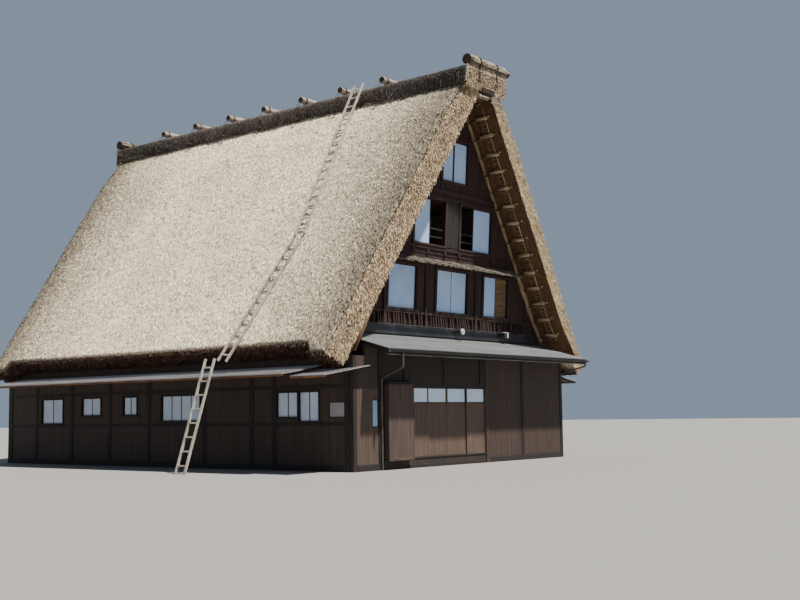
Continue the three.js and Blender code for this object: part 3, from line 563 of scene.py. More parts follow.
def paper_finish(name, shades, roughness, scale=(2.2, 2.2, 1.1)):
    """Screen paper or a milky pane: pale, with faint clouds and soft buckles."""
    made, add, finish = new_material(name, roughness)
    spot = add("TexCoord").outputs["Object"]
    clouds = add("TexNoise", add("Mapping", spot, Scale=scale), Scale=1.0, Detail=3.0)
    mixed = add("Mix", Factor=0.2, A=clouds, B=add("TexNoise", spot, Scale=60.0))
    finish(Base_Color=add("ValToRGB", mixed, stops=zip((0.3, 0.7), shades.split())),
           Normal=add("Bump", Height=clouds, Strength=0.3, Distance=0.01))
    return made


# Reed cut and laid in bundles, bleached grey by weather: short pale and dark strokes down the slope
weathered_thatch = thatch_finish("weathered_reed_thatch", "41372c 93856d cdbfa5 f6eedb",
                                 "5c4b38 9c8567 c8b190")
# The right slope: its cut verges are paler, painted sunlight on the lit verge faces
lit_verge_thatch = thatch_finish("reed_thatch_with_painted_lit_verges", "453b2f 85785f b5a78c d8cdb6", "94826a dccaac f8edd6")
# The older, darker reed of the ridge
ridge_thatch = thatch_finish("ridge_reed_thatch", "322b28 4a423d 5e554e 756b62", "6d6152 c2b49c f0e6d2")
# Single straws: dry and bleached on the slopes, dark reddish brown under the eaves as painted shade, golden
# where freshly cut, and paler on the right verges as painted sunlight
loose_straw = straw_finish("loose_weathered_straw", "392f25 8f8067 d3c4a6 fff6e0")
eave_shade_straw = straw_finish("painted_shade_eave_straw", "1f1611 3b2a20 57402f 7a6048")
pale_straw = straw_finish("cut_pale_straw", "80705a cab697 eadaba faf2dd")
golden_straw = straw_finish("cut_golden_straw", "574836 957f63 c2aa88 e4d2b4")
ridge_straw = straw_finish("loose_ridge_straw", "302824 4a4038 62574d 7e7468")
ridge_end_straw = straw_finish("cut_ridge_end_straw", "665845 ab987c d2bfa1 ecdfc8")
bundle_stick = straw_finish("bundled_brush_stick", "372f27 72675a 9b8e7b c6baa4", (0.25, 1.4), 12.0)
# Straw rope, grey-brown or tarred, and hairy
straw_rope = wood_finish("twisted_straw_rope", "5a4c3a 8c7a60 b3a082", (90, 90, 60), 0.95, 0.004)
dark_rope = wood_finish("tarred_straw_rope", "1d1712 3a2f25 564837", (90, 90, 60), 0.95, 0.004)
# Peeled poles and bars, smoke-stained tan, and the reed that is bound behind them
peeled_pole = wood_finish("peeled_smoked_pole", "5a4930 958060 c4b088", (30, 30, 2), by_board=(0.5, 1.25))
soffit_reed = wood_finish("bundled_soffit_reed", "301e14 61432c 866444", (70, 70, 3), 0.95, 0.006)
# Logs on the ridge: silvered bark wood with dark sawn ends
ridge_log = wood_finish("weathered_ridge_log", "5b4f42 93877a c3b6a4", (26, 26, 2), 0.85)
log_end = wood_finish("sawn_log_end", "1f1813 3a2d22 5a4633", (60, 60, 60), 0.9)
# Old cedar on the gable: dark reddish brown, and greyer in the middle
gable_board = wood_finish("old_red_cedar_board", "1d100e 321d19 462b24", (30, 30, 1.8))
gable_post = wood_finish("old_red_cedar_post", "150b09 2c1a15 43291f", (26, 26, 1.6))
grey_board = wood_finish("bleached_cedar_board", "120f0e 1e1919 2c2624", (34, 34, 1.6), 0.85)
# Dark-stained boards of the ground storey, browner on the doors; the low corner boards of the wing are
# lighter, as painted sunlight
wall_board = stained_board("dark_stained_cedar_board", "342821 3c2e26 46372d")
wall_post = stained_board("dark_stained_cedar_post", "140f0d 1e1714 2a201b", grain_scale=(24, 24, 1.4))
door_board = stained_board("brown_stained_door_board", "4f3e32 59483d 635146", 0.7, 0.06)
box_board = stained_board("dark_brown_box_board", "3f312b 483933 52423c", 0.7, 0.06)
sunlit_corner_board = stained_board("painted_sunlit_corner_board", "453630 4e3e34 584940")
door_post = wood_finish("brown_stained_door_post", "211812 42342a 5f4c3d", (30, 30, 1.5), 0.7)
# Boards high under the eave, darker than the rest: painted shade
shaded_upper_board = stained_board("painted_shade_cedar_board", "1f1714 271d19 2f2420")
# Newer pine planks behind one screen, and grey split shingles, rough and curled
ochre_plank = wood_finish("ochre_pine_plank", "4c3a20 6e5836 8a7350", (30, 30, 1.6), 0.7)
split_board = wood_finish("split_weathered_shingle", "332d28 675e54 91867a", (30, 30, 2.6), 0.95, 0.005,
                          by_board=(0.55, 1.25))
# Edge boards of the small roofs: rust-brown, silvered, or painted nearly black
eave_board = wood_finish("rust_brown_eave_board", "3d2214 6f4327 96643c", (28, 28, 2))
silvered_board = wood_finish("silvered_eave_board", "6a6560 8f8984 aca6a0", (28, 28, 2), 0.85)
dark_edge = wood_finish("dark_painted_fascia", "0d0b0a 151210 1f1b18", (20, 20, 1.2), 0.7)
# Timber of the frame's own pieces
frame_walls = wood_finish("dark_cedar_of_walls", "150f0c 2a211b 40332a", (24, 24, 1.4), 0.75, axis=(0, 1, 2))
frame_gable = wood_finish("red_cedar_of_gable", "150b09 2f1b16 482b23", (24, 24, 1.4), axis=(0, 1, 2))
floor_plank = wood_finish("worn_floor_plank", "3b2a1c 6a503a 8a6d50", (24, 24, 1.2), 0.6, axis=(0, 2, 1))
cross_beam = wood_finish("hewn_cross_beam", "150f0c 2e241d 4a3b30", (24, 24, 1.4), axis=(1, 2, 0))
ladder_wood = wood_finish("silvered_ladder_wood", "6d665c a59d90 cdc6b8", (40, 40, 3), 0.9, axis=(0, 1, 2))
# Sheet roofs: dull grey-green paint in front, silver grey on the aisles
painted_sheet = sheet_finish("dull_green_grey_painted_sheet", "5a5e5d 6d7170 828685", 0.55,
                             drawn_out=(0.25, 7, 7), in_courses=True)
bare_sheet = sheet_finish("silver_grey_sheet", "7d7a7b a09c9c bab5b4", drawn_out=(5, 0.3, 5), in_courses=True)
# Painted metal fittings, chalky and stained
dark_sheet = sheet_finish("blue_black_painted_sheet", "17191f 24272e 363a43")
gutter_sheet = sheet_finish("black_painted_gutter", "0b0c0e 131417 1f2124", 0.6)
pipe_sheet = sheet_finish("brown_black_painted_pipe", "312e2b 4a4643 6a6561")
bracket_metal = sheet_finish("dull_galvanised_bracket", "55534f 77746f 989590", 0.6)
pale_paint = sheet_finish("pale_enamelled_housing", "8d8f8c b5b7b2 cfd0ca", 0.4, scale=6.0)
# Screens and panes: white paper and milky glass, tinted pale blue as painted shade under the blue sky; one
# pane is plain grey, and the blue one's colour is a painted reflection of the sky
screen_paper = paper_finish("white_screen_paper", "a9c7f6 c2deff", 0.75)
window_paper = paper_finish("white_window_paper", "c2d2ea dfecfd", 0.75)
milky_pane = paper_finish("milky_door_pane", "c6e0ff e4f6ff", 0.35, (1.5, 1.5, 3.0))
grey_pane = paper_finish("plain_grey_pane", "8a8488 a39ca0", 0.4, (2.0, 2.0, 3.0))
# Its blue is a painted reflection of the sky
sky_painted_pane = paper_finish("painted_sky_reflection_pane", "5a80ac b4cde6", 0.25, (2.0, 2.0, 2.4))


# Thatched slopes

def slope_lines(s):
    return [np.interp(s, SLOPE_UP, values) for values in (OUTER_X, OUTER_Z, INNER_X, INNER_Z)]


def thatch_place(s, t, h, side):
    """Points of one slope: s metres up from the eave, t from -1 at the front verge to 1 at the back,
    h from 0 on the inside to 1 on the outside. Gives the points and how the straw lies there."""
    s, t, h = np.broadcast_arrays(*[np.asarray(value, float) for value in (s, t, h)])
    outer_x, outer_z, inner_x, inner_z = slope_lines(s)
    limit = gable_line(inner_z + (outer_z - inner_z) * h)
    from_verge = (1 - np.abs(t)) * limit
    depth = (1 - h) * THATCH_DEPTH
    y = t * limit
    on_verge = ramp(0.16 - from_verge, 0, 0.16)
    wobble = soft_noise(s / 1.7, 3 + side, 5) * 0.05
    from_verge, depth = rounded_corner(from_verge, depth, VERGE_ROUND)
    depth, up = rounded_corner(depth, s, EAVE_ROUND)
    hollows = (soft_noise(s / 1.3, y / 0.9, 7) * 0.03 + soft_noise(s / 0.24, y / 0.08, 8) * 0.022
               + soft_noise(s / 0.09, y / 0.07, 9) * 0.024)
    depth = depth + hollows * ramp(h, 0.55, 0.95)
    shaggy = soft_noise(s / 0.14, depth / 0.07, 10) * 0.035 + soft_noise(s / 0.5, depth / 0.3, 12) * 0.03
    from_verge = from_verge + (shaggy + wobble) * on_verge * ramp(h, 0, 0.2)
    up = up + soft_noise(y / 0.1, depth / 0.1, 13) * 0.04 * ramp(0.1 - s, 0, 0.1) * ramp(h, 0, 0.2)
    outer_x, outer_z, inner_x, inner_z = slope_lines(up)
    share = 1 - depth / THATCH_DEPTH
    tail = TAIL_REACH * ramp(TAIL_WIDTH + 0.15 - from_verge, 0, 0.3) * np.clip(1 - up / TAIL_HEIGHT, 0, 1)
    x = inner_x + (outer_x - inner_x) * share + tail
    z = inner_z + (outer_z - inner_z) * share - tail * TAIL_DROP
    y = np.sign(t) * (gable_line(z) - from_verge)
    uneven = 1 + 0.5 * soft_noise(s / 0.5, depth / 0.3, 14) + 0.4 * soft_noise(s / 0.1, depth / 0.1, 15)
    # Painted shade: the cut face at the eave is marked to be darkened towards dark reddish brown
    eave_shade = ramp(0.12 - up, 0, 0.12)
    cut = ramp(0.6 - from_verge, 0, 0.6) * (0.15 + 0.75 * ramp(depth, 0.1, 0.7)) * uneven
    lie = [y + np.sign(t) * depth * on_verge, up - depth * (s <= 0), np.clip(cut, 0, 1) * (1 - eave_shade) - eave_shade]
    return np.stack([side * x, y, z], -1), np.stack(lie, -1)


def verge_stations():
    """Places along the ridge, closer together at the rounded verges."""
    near = np.array([0, 0.03, 0.07, 0.11, 0.16, 0.22, 0.28, 0.34])
    half = [*(1 - near / HALF_LENGTH), *np.linspace(1 - 0.385 / HALF_LENGTH, 0.0, 146)[:-1]]
    return np.array([-place for place in half] + [0.0001] + half[::-1])


def thatch_slope(side, material):
    name = SIDES[side] + "_thatch"
    stations = verge_stations()[:, None]
    up = np.concatenate([[0, 0.03, 0.07, 0.12, 0.18], np.arange(0.23, 8.4, 0.05),
                         np.arange(8.44, 10.0, 0.055), [10.37, 11.37]])[:, None]
    layers = np.array([[0, 0.08, 0.16, 0.25, 0.34, 0.43, 0.52, 0.61, 0.69, 0.76, 0.82, 0.88, 0.94, 1.0]])
    inner_up = np.unique([*up[::6, 0], *SLOPE_UP])[:, None]
    inner_stations = np.array([-1, -0.97, *np.linspace(-0.88, 0.88, 13), 0.97, 1])
    skin = Skin()
    skin.grid(*thatch_place(up, stations.T, 1.0, side), flip=side > 0)
    for t in (-1.0, 1.0):
        skin.grid(*thatch_place(up, t, layers, side), flip=(side > 0) == (t < 0))
    skin.grid(*thatch_place(0.0, stations, layers, side), flip=side < 0)
    skin.grid(*thatch_place(inner_up, inner_stations, 0.0, side), flip=side < 0)
    skin.grid(*thatch_place(up[-1], stations, layers, side), flip=side > 0)
    show(f"{name}_slope", skin.mesh(f"{name}_slope"), material, "thatch", smooth=True, replaced=name)


def straw_sizes(draw, count, *ranges):
    return [draw.uniform(low, high, count)[:, None] for low, high in ranges]


def straws(name, material, slot, roots, directions, normals, sizes, tones):
    """Loose straws: thin slivers that are bedded at the root. Sizes are their lengths and widths, and how
    far their tips stand off."""
    lengths, widths, lifts = sizes
    directions = directions / np.linalg.norm(directions, axis=1, keepdims=True)
    sides = np.cross(directions, normals)
    half = widths / 2 * sides / np.linalg.norm(sides, axis=1, keepdims=True)
    sunk = roots - normals * 0.012
    tips = roots + directions * lengths + normals * lifts
    points = np.stack([sunk + half, sunk - half, roots + normals * widths / 2, tips], 1).reshape(-1, 3)
    points[:, 0] += CENTRE
    first = np.arange(len(roots))[:, None] * 4
    faces = np.concatenate([first + np.array(face) for face in ((0, 2, 3), (2, 1, 3), (1, 0, 3), (0, 1, 2))])
    show(name, new_mesh(name, points.tolist(), faces.tolist(), tone=np.repeat(tones, 4)), material, slot)


def slope_straws(side, count, seed):
    """Straws that have worked loose on a slope. Near a verge they turn towards it and are darker, as painted
    shade of the rounded verge.
    """
    draw = np.random.default_rng(seed)
    s = draw.uniform(0.15, 9.85, count)
    t = draw.uniform(-0.995, 0.995, count)
    away = np.abs(t)
    turn = 0.85 * np.exp((away - 1) * HALF_LENGTH / 1.1) + draw.normal(0, 0.45, count)
    steep = np.where(s > UPPER_SLOPE_FROM, UPPER_SLOPE, LOWER_SLOPE)
    run = 1 / np.hypot(1, steep)
    directions = [side * run * np.cos(turn), np.sign(t) * np.sin(turn), -steep * run * np.cos(turn)]
    normals = [side * steep * run, np.zeros(count), run]
    sizes = straw_sizes(draw, count, (0.05, 0.12), (0.012, 0.026), (0.0, 0.03))
    # Tones fall towards the verges: painted shade
    paler = np.interp(away, (0.0, 0.8, 1.0), (0.3, 0.2, 0.0))
    spread = np.interp(away, (0.0, 0.8, 1.0), (1.1, 1.0, 0.42))
    tones = np.clip(draw.beta(1.0, 1.0, count) * spread + paler, 0, 1)
    straws(f"{SIDES[side]}_slope_straws", loose_straw, "thatch", thatch_place(s, t, 1.0, side)[0],
           np.stack(directions, -1), np.stack(normals, -1), sizes, tones)


def slope_axes(side):
    """Down a slope, and out from it."""
    return (np.array([side * SLOPE_ACROSS, 0, -SLOPE_RISE]),
            np.array([side * SLOPE_RISE, 0, SLOPE_ACROSS]))


def verge_straws(material, side, end, count, seed):
    """The shaggy cut face of a verge: straw ends that point down the slope and outwards."""
    draw = np.random.default_rng(seed)
    s = draw.uniform(0.02, 9.95, count)
    h = draw.uniform(0.0, 0.98, count)
    down, out = slope_axes(side)
    forward = np.array([0.0, end, 0.0])
    directions = (down + out * draw.normal(0, 0.35, (count, 1))
                  + forward * draw.uniform(0.05, 0.5, (count, 1)))
    tones = draw.beta(1.1, 1.1, count)
    sizes = straw_sizes(draw, count, (0.05, 0.13), (0.014, 0.03), (0.0, 0.03))
    straws(f"{ENDS[end]}_{SIDES[side]}_verge_straws", material, "thatch", thatch_place(s, end, h, side)[0],
           directions, forward, sizes, tones)


def eave_straws(side, count, seed):
    """The cut ends along an eave."""
    draw = np.random.default_rng(seed)
    t = draw.uniform(-0.99, 0.99, count)
    h = draw.uniform(0.02, 0.95, count)
    down, out = slope_axes(side)
    directions = (down + np.array([0, 1, 0]) * draw.normal(0, 0.25, (count, 1))
                  + out * draw.normal(0, 0.15, (count, 1)))
    sizes = straw_sizes(draw, count, (0.06, 0.16), (0.012, 0.03), (0.0, 0.02))
    # Their dark reddish brown is painted shade under the eave
    straws(f"{SIDES[side]}_eave_straws", eave_shade_straw, "thatch", thatch_place(0.0, t, h, side)[0], directions,
           out, sizes, draw.beta(1.4, 1.6, count))


thatch_slope(-1, weathered_thatch)
thatch_slope(1, lit_verge_thatch)
slope_straws(-1, SLOPE_STRAWS[-1], 21)
slope_straws(1, SLOPE_STRAWS[1], 22)
# The right verges take the paler cut straw: painted sunlight
for side, cut_straw in ((-1, golden_straw), (1, pale_straw)):
    verge_straws(cut_straw, side, -1, VERGE_STRAWS[-1], 23 + side)
    verge_straws(cut_straw, side, 1, VERGE_STRAWS[1], 26 + side)
    eave_straws(side, EAVE_STRAWS, 30 + side)


# Ridge cap, with the rolls that lie across it

def cap_line(u, line):
    """The cap's outer line with its corners eased, but not at its foot."""
    eased = sum(share * np.interp(u + shift, CAP_ROUND, line)
                for share, shift in ((0.5, 0), (0.25, -0.12), (0.25, 0.12)))
    foot = ramp(np.abs(u), 1.45, 1.7)
    return eased * (1 - foot) + np.interp(u, CAP_ROUND, line) * foot


def cap_place(u, t, h):
    """Points of the ridge cap: u metres round its section, t along the ridge, h from under to outside."""
    u, t, h = np.broadcast_arrays(*[np.asarray(value, float) for value in (u, t, h)])
    outer_x, outer_z = cap_line(u, CAP_X), cap_line(u, CAP_Z)
    under_x, under_z = np.interp(u, CAP_ROUND, CAP_UNDER_X), np.interp(u, CAP_ROUND, CAP_UNDER_Z)
    limit = gable_line(outer_z) + CAP_END_REACH
    y = t * limit
    from_end = (1 - np.abs(t)) * limit
    depth = (1 - h) * CAP_DEPTH
    on_end = ramp(0.1 - from_end, 0, 0.1)
    from_end, depth = rounded_corner(from_end, depth, 0.1)
    hollows = (soft_noise(y / 0.9, u / 0.9, 15) * 0.06 + soft_noise(y / 0.07, u / 0.25, 16) * 0.024
               + soft_noise(y / 0.06, u / 0.06, 17) * 0.016)
    depth = depth + hollows * ramp(h, 0.3, 0.9)
    from_end = from_end + soft_noise(u / 0.06, depth / 0.05, 18) * 0.03 * on_end * ramp(h, 0, 0.3)
    hem = soft_noise(y / 0.45, 3, 19) * 0.06 + soft_noise(y / 0.09, 5, 20) * 0.03
    share = 1 - depth / CAP_DEPTH
    x = under_x + (outer_x - under_x) * share
    z = under_z + (outer_z - under_z) * share + hem * ramp(np.abs(u), 1.4, 1.73)
    y = np.sign(t) * (limit - from_end)
    return np.stack([x, y, z], -1), np.stack([y + np.sign(t) * depth, u, on_end], -1)


def ridge_cap():
    stations = np.array([[-1, -0.997, -0.994, -0.99, *np.linspace(-0.986, 0.986, 430),
                          0.99, 0.994, 0.997, 1]])
    round_it = np.linspace(-CAP_HALF_ROUND, CAP_HALF_ROUND, 88)[:, None]
    layers = np.linspace(0, 1, 7)
    skin = Skin()
    skin.grid(*cap_place(round_it, stations, 1.0))
    for t in (-1.0, 1.0):
        skin.grid(*cap_place(round_it, t, layers), flip=t > 0)
    for u in (-CAP_HALF_ROUND, CAP_HALF_ROUND):
        skin.grid(*cap_place(u, stations.T, layers), flip=u > 0)
    skin.grid(*cap_place(round_it[::3], stations[:, ::6], 0.0), flip=True)
    show("ridge_cap_thatch", skin.mesh("ridge_cap_thatch"), ridge_thatch, "ridge_thatch", smooth=True,
         replaced="ridge_cap")


def ridge_straws(count=RIDGE_STRAWS, seed=41):
    draw = np.random.default_rng(seed)
    u = draw.uniform(0.75, 1.7, count) * draw.choice([-1, 1], count)
    u = np.where(draw.random(count) < 0.3, np.sign(u) * draw.uniform(1.55, 1.72, count), u)
    t = draw.uniform(-0.995, 0.995, count)
    side = np.sign(u)
    directions = np.stack([side * 0.12, draw.normal(0, 0.25, count), np.full(count, -1.0)], -1)
    normals = np.stack([side, np.zeros(count), np.full(count, 0.1)], -1)
    sizes = straw_sizes(draw, count, (0.06, 0.16), (0.012, 0.028), (0.0, 0.04))
    straws("ridge_side_straws", ridge_straw, "ridge_thatch", cap_place(u, t, 1.0)[0], directions, normals,
           sizes, draw.beta(1.5, 1.8, count))


def ridge_end_straws(end, count=RIDGE_END_STRAWS, seed=43):
    """The golden cut end of the ridge."""
    draw = np.random.default_rng(seed + end)
    x = draw.uniform(-1.08, 1.08, count)
    z = draw.uniform(11.5, 12.2, count)
    y = end * (gable_line(z) + CAP_END_REACH - 0.02)
    directions = np.stack([draw.normal(0, 0.5, count), end * draw.uniform(0.1, 0.6, count),
                           np.full(count, -1.0)], -1)
    sizes = straw_sizes(draw, count, (0.05, 0.13), (0.012, 0.024), (0.0, 0.02))
    straws(f"{ENDS[end]}_ridge_end_straws", ridge_end_straw, "thatch", np.stack([x, y, z], -1), directions,
           np.array([0.0, end, 0.0]), sizes, draw.beta(1.6, 1.6, count))


def log_path(y):
    """A ridge log lies a little crooked."""
    return [((ROLL_HALF - 0.012) * (i / 7 - 1), y + 0.006 * math.sin(i * 0.9 + y),
             ROLL_HEIGHT + 0.006 * math.cos(i * 0.7 + y)) for i in range(15)]


def end_roll(end, bundles, ends, lashings):
    """The roll on the ridge end: brushwood round a tapering core, tied twice and roped to the front."""
    y = end * END_ROLL_PLACE

    def girth(x):
        return END_ROLL_RADIUS * (0.93 - 0.07 * (x / END_ROLL_HALF) + 0.05 * math.sin(x * 9))

    def spot(x, out=0.0, turn=0.0):
        return x + END_ROLL_SHIFT, y + out * math.sin(turn), END_ROLL_HEIGHT + out * math.cos(turn)

    places = [END_ROLL_HALF * (0.98 * i / 24 - 0.985 * (24 - i) / 24) for i in range(25)]
    bundles.rod([spot(x) for x in places], [girth(x) * 0.86 for x in places], 14, tone=0.2, knobbly=0.25)
    for i in range(END_ROLL_STICKS):
        angle = math.tau * i / END_ROLL_STICKS + chance.uniform(-0.1, 0.1)
        start = chance.uniform(0.0, 0.12)
        stop = chance.uniform(0.86, 1.0)
        path = []
        for k in range(11):
            x = END_ROLL_HALF * (2 * (start + (stop - start) * k / 10) - 1) * 0.99
            out = girth(x) - 0.03 + chance.uniform(-0.012, 0.0)
            path.append(spot(x, out, angle + chance.uniform(-0.07, 0.07)))
        bundles.rod(path, chance.uniform(0.024, 0.036), 6, knobbly=0.5)
    ends.rod([spot(-END_ROLL_HALF), spot(0.03 - END_ROLL_HALF)], 0.165, 16)
    ends.rod([spot(END_ROLL_HALF - 0.03), spot(END_ROLL_HALF)], 0.13, 16)
    for x in END_ROLL_TIES:
        lashings.coil(spot(x), (1, 0, 0), girth(x) + 0.002, 0.011, 3.0, 0.022)
        for apart in (-0.024, 0.024):
            rope_x = x + END_ROLL_SHIFT + apart
            lashings.rod([(rope_x, y + end * 0.15, 12.28), (rope_x, end * 8.55, 12.1),
                          (rope_x, end * 8.55, 11.95), (rope_x + apart, end * 8.52, 11.62)], 0.012, 6)


def ridge_rolls():
    logs, bundles, ends, ropes, lashings = stocks(5)
    for y in ROLL_PLACES:
        radii = [ROLL_RADIUS * chance.uniform(0.88, 0.97) for _ in range(15)]
        logs.rod(log_path(y), radii, 14, knobbly=0.08)
        for side in SIDES:
            ends.rod([(side * x, y, ROLL_HEIGHT) for x in (ROLL_HALF - 0.02, ROLL_HALF)],
                     ROLL_RADIUS * 0.85, 14)
            ends.rod([(side * x, y, TIE_LOG_HEIGHT) for x in (1.0, 1.26)], 0.034, 10, knobbly=0.1)
            for apart in (-0.05, 0.05):
                over = ((0.72, 1, 12.46), (0.93, 1, 12.33), (1.09, 1, 12.14), (1.15, 0.8, 11.9),
                        (1.17, 0.4, TIE_LOG_HEIGHT))
                ropes.rod([(side * x, y + apart * spread, z) for x, spread, z in over], 0.008, 6)
            ropes.coil((side * 0.72, y, ROLL_HEIGHT), (1, 0, 0), ROLL_RADIUS + 0.002, 0.009, 2.0, 0.05)
    for end in ENDS:
        end_roll(end, bundles, ends, lashings)
    logs.shown("ridge_logs", ridge_log, "ridge_thatch", smooth=True)
    bundles.shown("ridge_end_bundles", bundle_stick, "ridge_thatch", smooth=True)
    ends.shown("ridge_log_ends", log_end, "ridge_thatch")
    ropes.shown("ridge_ropes", dark_rope, "ridge_thatch", smooth=True)
    lashings.shown("ridge_end_lashings", dark_rope, "ridge_thatch", smooth=True)


ridge_cap()
ridge_straws()
for end in ENDS:
    ridge_end_straws(end)
ridge_rolls()


# Under the verges: bundled reed, poles, paired bars and rope

def inner_half(z):
    return (INNER_APEX - z) / INNER_SLOPE


def under_slope(side, y, z, out):
    """A point that stands out from the inside of the thatch, below height z on its line."""
    return side * (inner_half(z) - INNER_RISE * out), y, z - INNER_ACROSS * out


def soffit_reed_mat(side, end):
    reed = Stock(lean=True)
    for i in range(REED_COUNT):
        y = REED_FIRST + REED_STEP * i + chance.uniform(-0.006, 0.006)
        path = [under_slope(side, end * (y + chance.uniform(-0.008, 0.008)), 3.2 + 0.66 * k,
                            chance.uniform(0.0, 0.012)) for k in range(14)]
        path[0] = under_slope(side, end * y, 3.2 + chance.uniform(0, 0.1), 0.0)
        reed.rod(path, REED_RADIUS, 6, knobbly=0.3)
    for k in range(24):
        path = [under_slope(side, end * (REED_FIRST + 0.27 * i), 3.6 + 0.34 * k + chance.uniform(-0.02, 0.02),
                            REED_RADIUS) for i in range(5)]
        reed.rod(path, 0.012, 6, tone=0.9)
    reed.shown(f"{ENDS[end]}_{SIDES[side]}_soffit_reed", soffit_reed, "thatch", smooth=True)


def verge_lattice(side, end):
    """Three poles up the slope, pairs of bars across them, and the ropes that tie them. The lower, thinner
    bar of each pair takes the darkest tone: a real bar with painted shade under the pale one.
    """
    name = f"{ENDS[end]}_{SIDES[side]}_verge"
    poles, ropes = stocks(2, lean=True)

    def spot(y, z, out):
        return under_slope(side, end * y, z, out)

    for y, radius, low_radius, out, tone in VERGE_POLES:
        heights = np.linspace(FRAME_FOOT + 0.03, FRAME_HEAD - 0.03, 13)
        path = [spot(y + chance.uniform(-0.006, 0.006), z + INNER_ACROSS * out,
                     out + chance.uniform(0, 0.008)) for z in heights]
        radii = [(low_radius if z < THICK_BELOW else radius) * chance.uniform(0.9, 1.02) for z in heights]
        poles.rod(path, radii, 10, tone=tone, knobbly=0.06)
    for i in range(BAR_COUNT):
        z = FRAME_FOOT + BAR_STEP * (i + 0.5)
        reach = chance.uniform(-0.03, 0.03)
        root = chance.uniform(-0.06, 0.06)
        # The second, thin bar is set to the darkest tone: painted shade under the pale bar
        for rise, radius, start, stop, tone in ((0.03, 0.06, 7.25 + root, 7.68 + reach, 1.0),
                                                (-0.05, 0.024, 6.96, 7.62, 0.0)):
            slant = chance.uniform(-0.03, 0.03)
            bends = ((start, 0.0), ((start + stop) / 2, slant), (stop, slant * 1.5))
            path = [spot(y, z + rise + turn, 0.1) for y, turn in bends]
            poles.rod(path, radius, 8, tone=tone, knobbly=0.12)
        poles.rod([spot(7.72, z + 0.03, 0.02), spot(7.76, z + 0.03, 0.07)], 0.035, 8, tone=1.0, knobbly=0.1)
        ropes.coil(spot(OUTER_POLE, z + 0.01, 0.08), (0, 1, 0.35), 0.055, 0.008, 2.0, 0.03, 5)
        ropes.coil(spot(WALL_POLE, z + 0.03, 0.06), (-side * 0.6, 0, 0.8), 0.062, 0.01, 2.0, 0.03, 5)
        for step in (0.25, 0.5, 0.75):
            rung = z + BAR_STEP * step + chance.uniform(-0.03, 0.03)
            ends = [spot(INNER_LINE, rung, 0.045), spot(OUTER_POLE, rung + chance.uniform(-0.03, 0.03), 0.06)]
            poles.rod(ends, 0.014, 6, tone=chance.uniform(0.4, 0.8))
    poles.shown(f"{name}_lattice", peeled_pole, "pole_wood", smooth=True, replaced=f"{name}_frame")
    ropes.shown(f"{name}_lashings", straw_rope, "pole_wood", smooth=True)


def apex_timbers(end):
    """Short timbers that show under the point of the verge."""
    name = ENDS[end] + "_apex"
    pale, dark, reed = stocks(3, lean=True)
    near, far = sorted((end * 7.2, end * 8.12))
    for i in range(REED_COUNT):
        y = end * (6.94 + REED_STEP * i)
        path = [(x, y, 11.325 + chance.uniform(-0.01, 0.01)) for x in (-0.36, 0, 0.36)]
        reed.rod(path, REED_RADIUS, 6, knobbly=0.3)
    dark.block((-0.29, near, 11.4), (0.36, far, 11.56), 0, 0.2)
    pale.block((0.06, near - 0.01, 11.56), (0.37, far + 0.01, 11.582), 0, 0.9)
    pale.rod([(-0.4, end * 8.02, 11.29), (-0.14, end * 8.03, 11.295), (0.1, end * 8.02, 11.3)], 0.065, 10,
             tone=0.8, knobbly=0.1)
    pale.rod([(0.25, end * 8.06, 11.2), (0.52, end * 8.07, 11.22), (0.8, end * 8.06, 11.24)], 0.028, 8, 1.0)
    reed.shown(f"{name}_reed", soffit_reed, "thatch", smooth=True)
    dark.shown(f"{name}_block", gable_post, "gable_boards", bevel=0.01)
    pale.shown(f"{name}_timbers", ridge_log, "pole_wood")


for end in ENDS:
    for side in SIDES:
        soffit_reed_mat(side, end)
        verge_lattice(side, end)
for end in ENDS:
    apex_timbers(end)


# Gable walls

class Wall:
    """A wall face across the house (axis 0) or along it (axis 1). Its lengths are given along the wall,
    out from its face and up it."""

    def __init__(self, axis, sign, face=0.0):
        self.axis = axis
        self.sign = sign
        self.face = face

    def spot(self, along, out, z):
        level = self.sign * (self.face + out)
        return (level, along, z) if self.axis else (along, level, z)

    def block(self, stock, along, out, height, tone=None, grain=2):
        low, high = height
        self.slanted(stock, along, out, (low, low), (high, high), grain, tone)

    def rail(self, stock, along, out, height, tone=None):
        """A block whose grain runs along the wall."""
        self.block(stock, along, out, height, tone, self.axis)

    def post(self, stock, middle, half, out, height):
        self.block(stock, (middle - half, middle + half), out, height)

    def slanted(self, stock, along, out, lows, highs, grain, tone):
        """A block whose bottom and top edges may slope: each has one height at either side."""
        corners = [self.spot(place, level, z) for heights in (lows, highs) for level in out
                   for place, z in zip(along, heights)]
        stock.hexahedron([corners[i] for i in CORNER_ORDER[self.axis, self.sign]], grain, tone)


def board_edges(start, stop, width, marks=()):
    """Where boards meet along a wall: about every width, and exactly at each mark."""
    edges = [start]
    while edges[-1] < stop - 0.6 * width:
        edges.append(min(edges[-1] + width * chance.uniform(0.85, 1.15), stop))
    edges[-1] = stop
    marks = [mark for mark in marks if start < mark < stop]
    edges = [edge for edge in edges if all(abs(edge - mark) > 0.4 * width for mark in marks)]
    return sorted({*edges, *marks, start, stop})


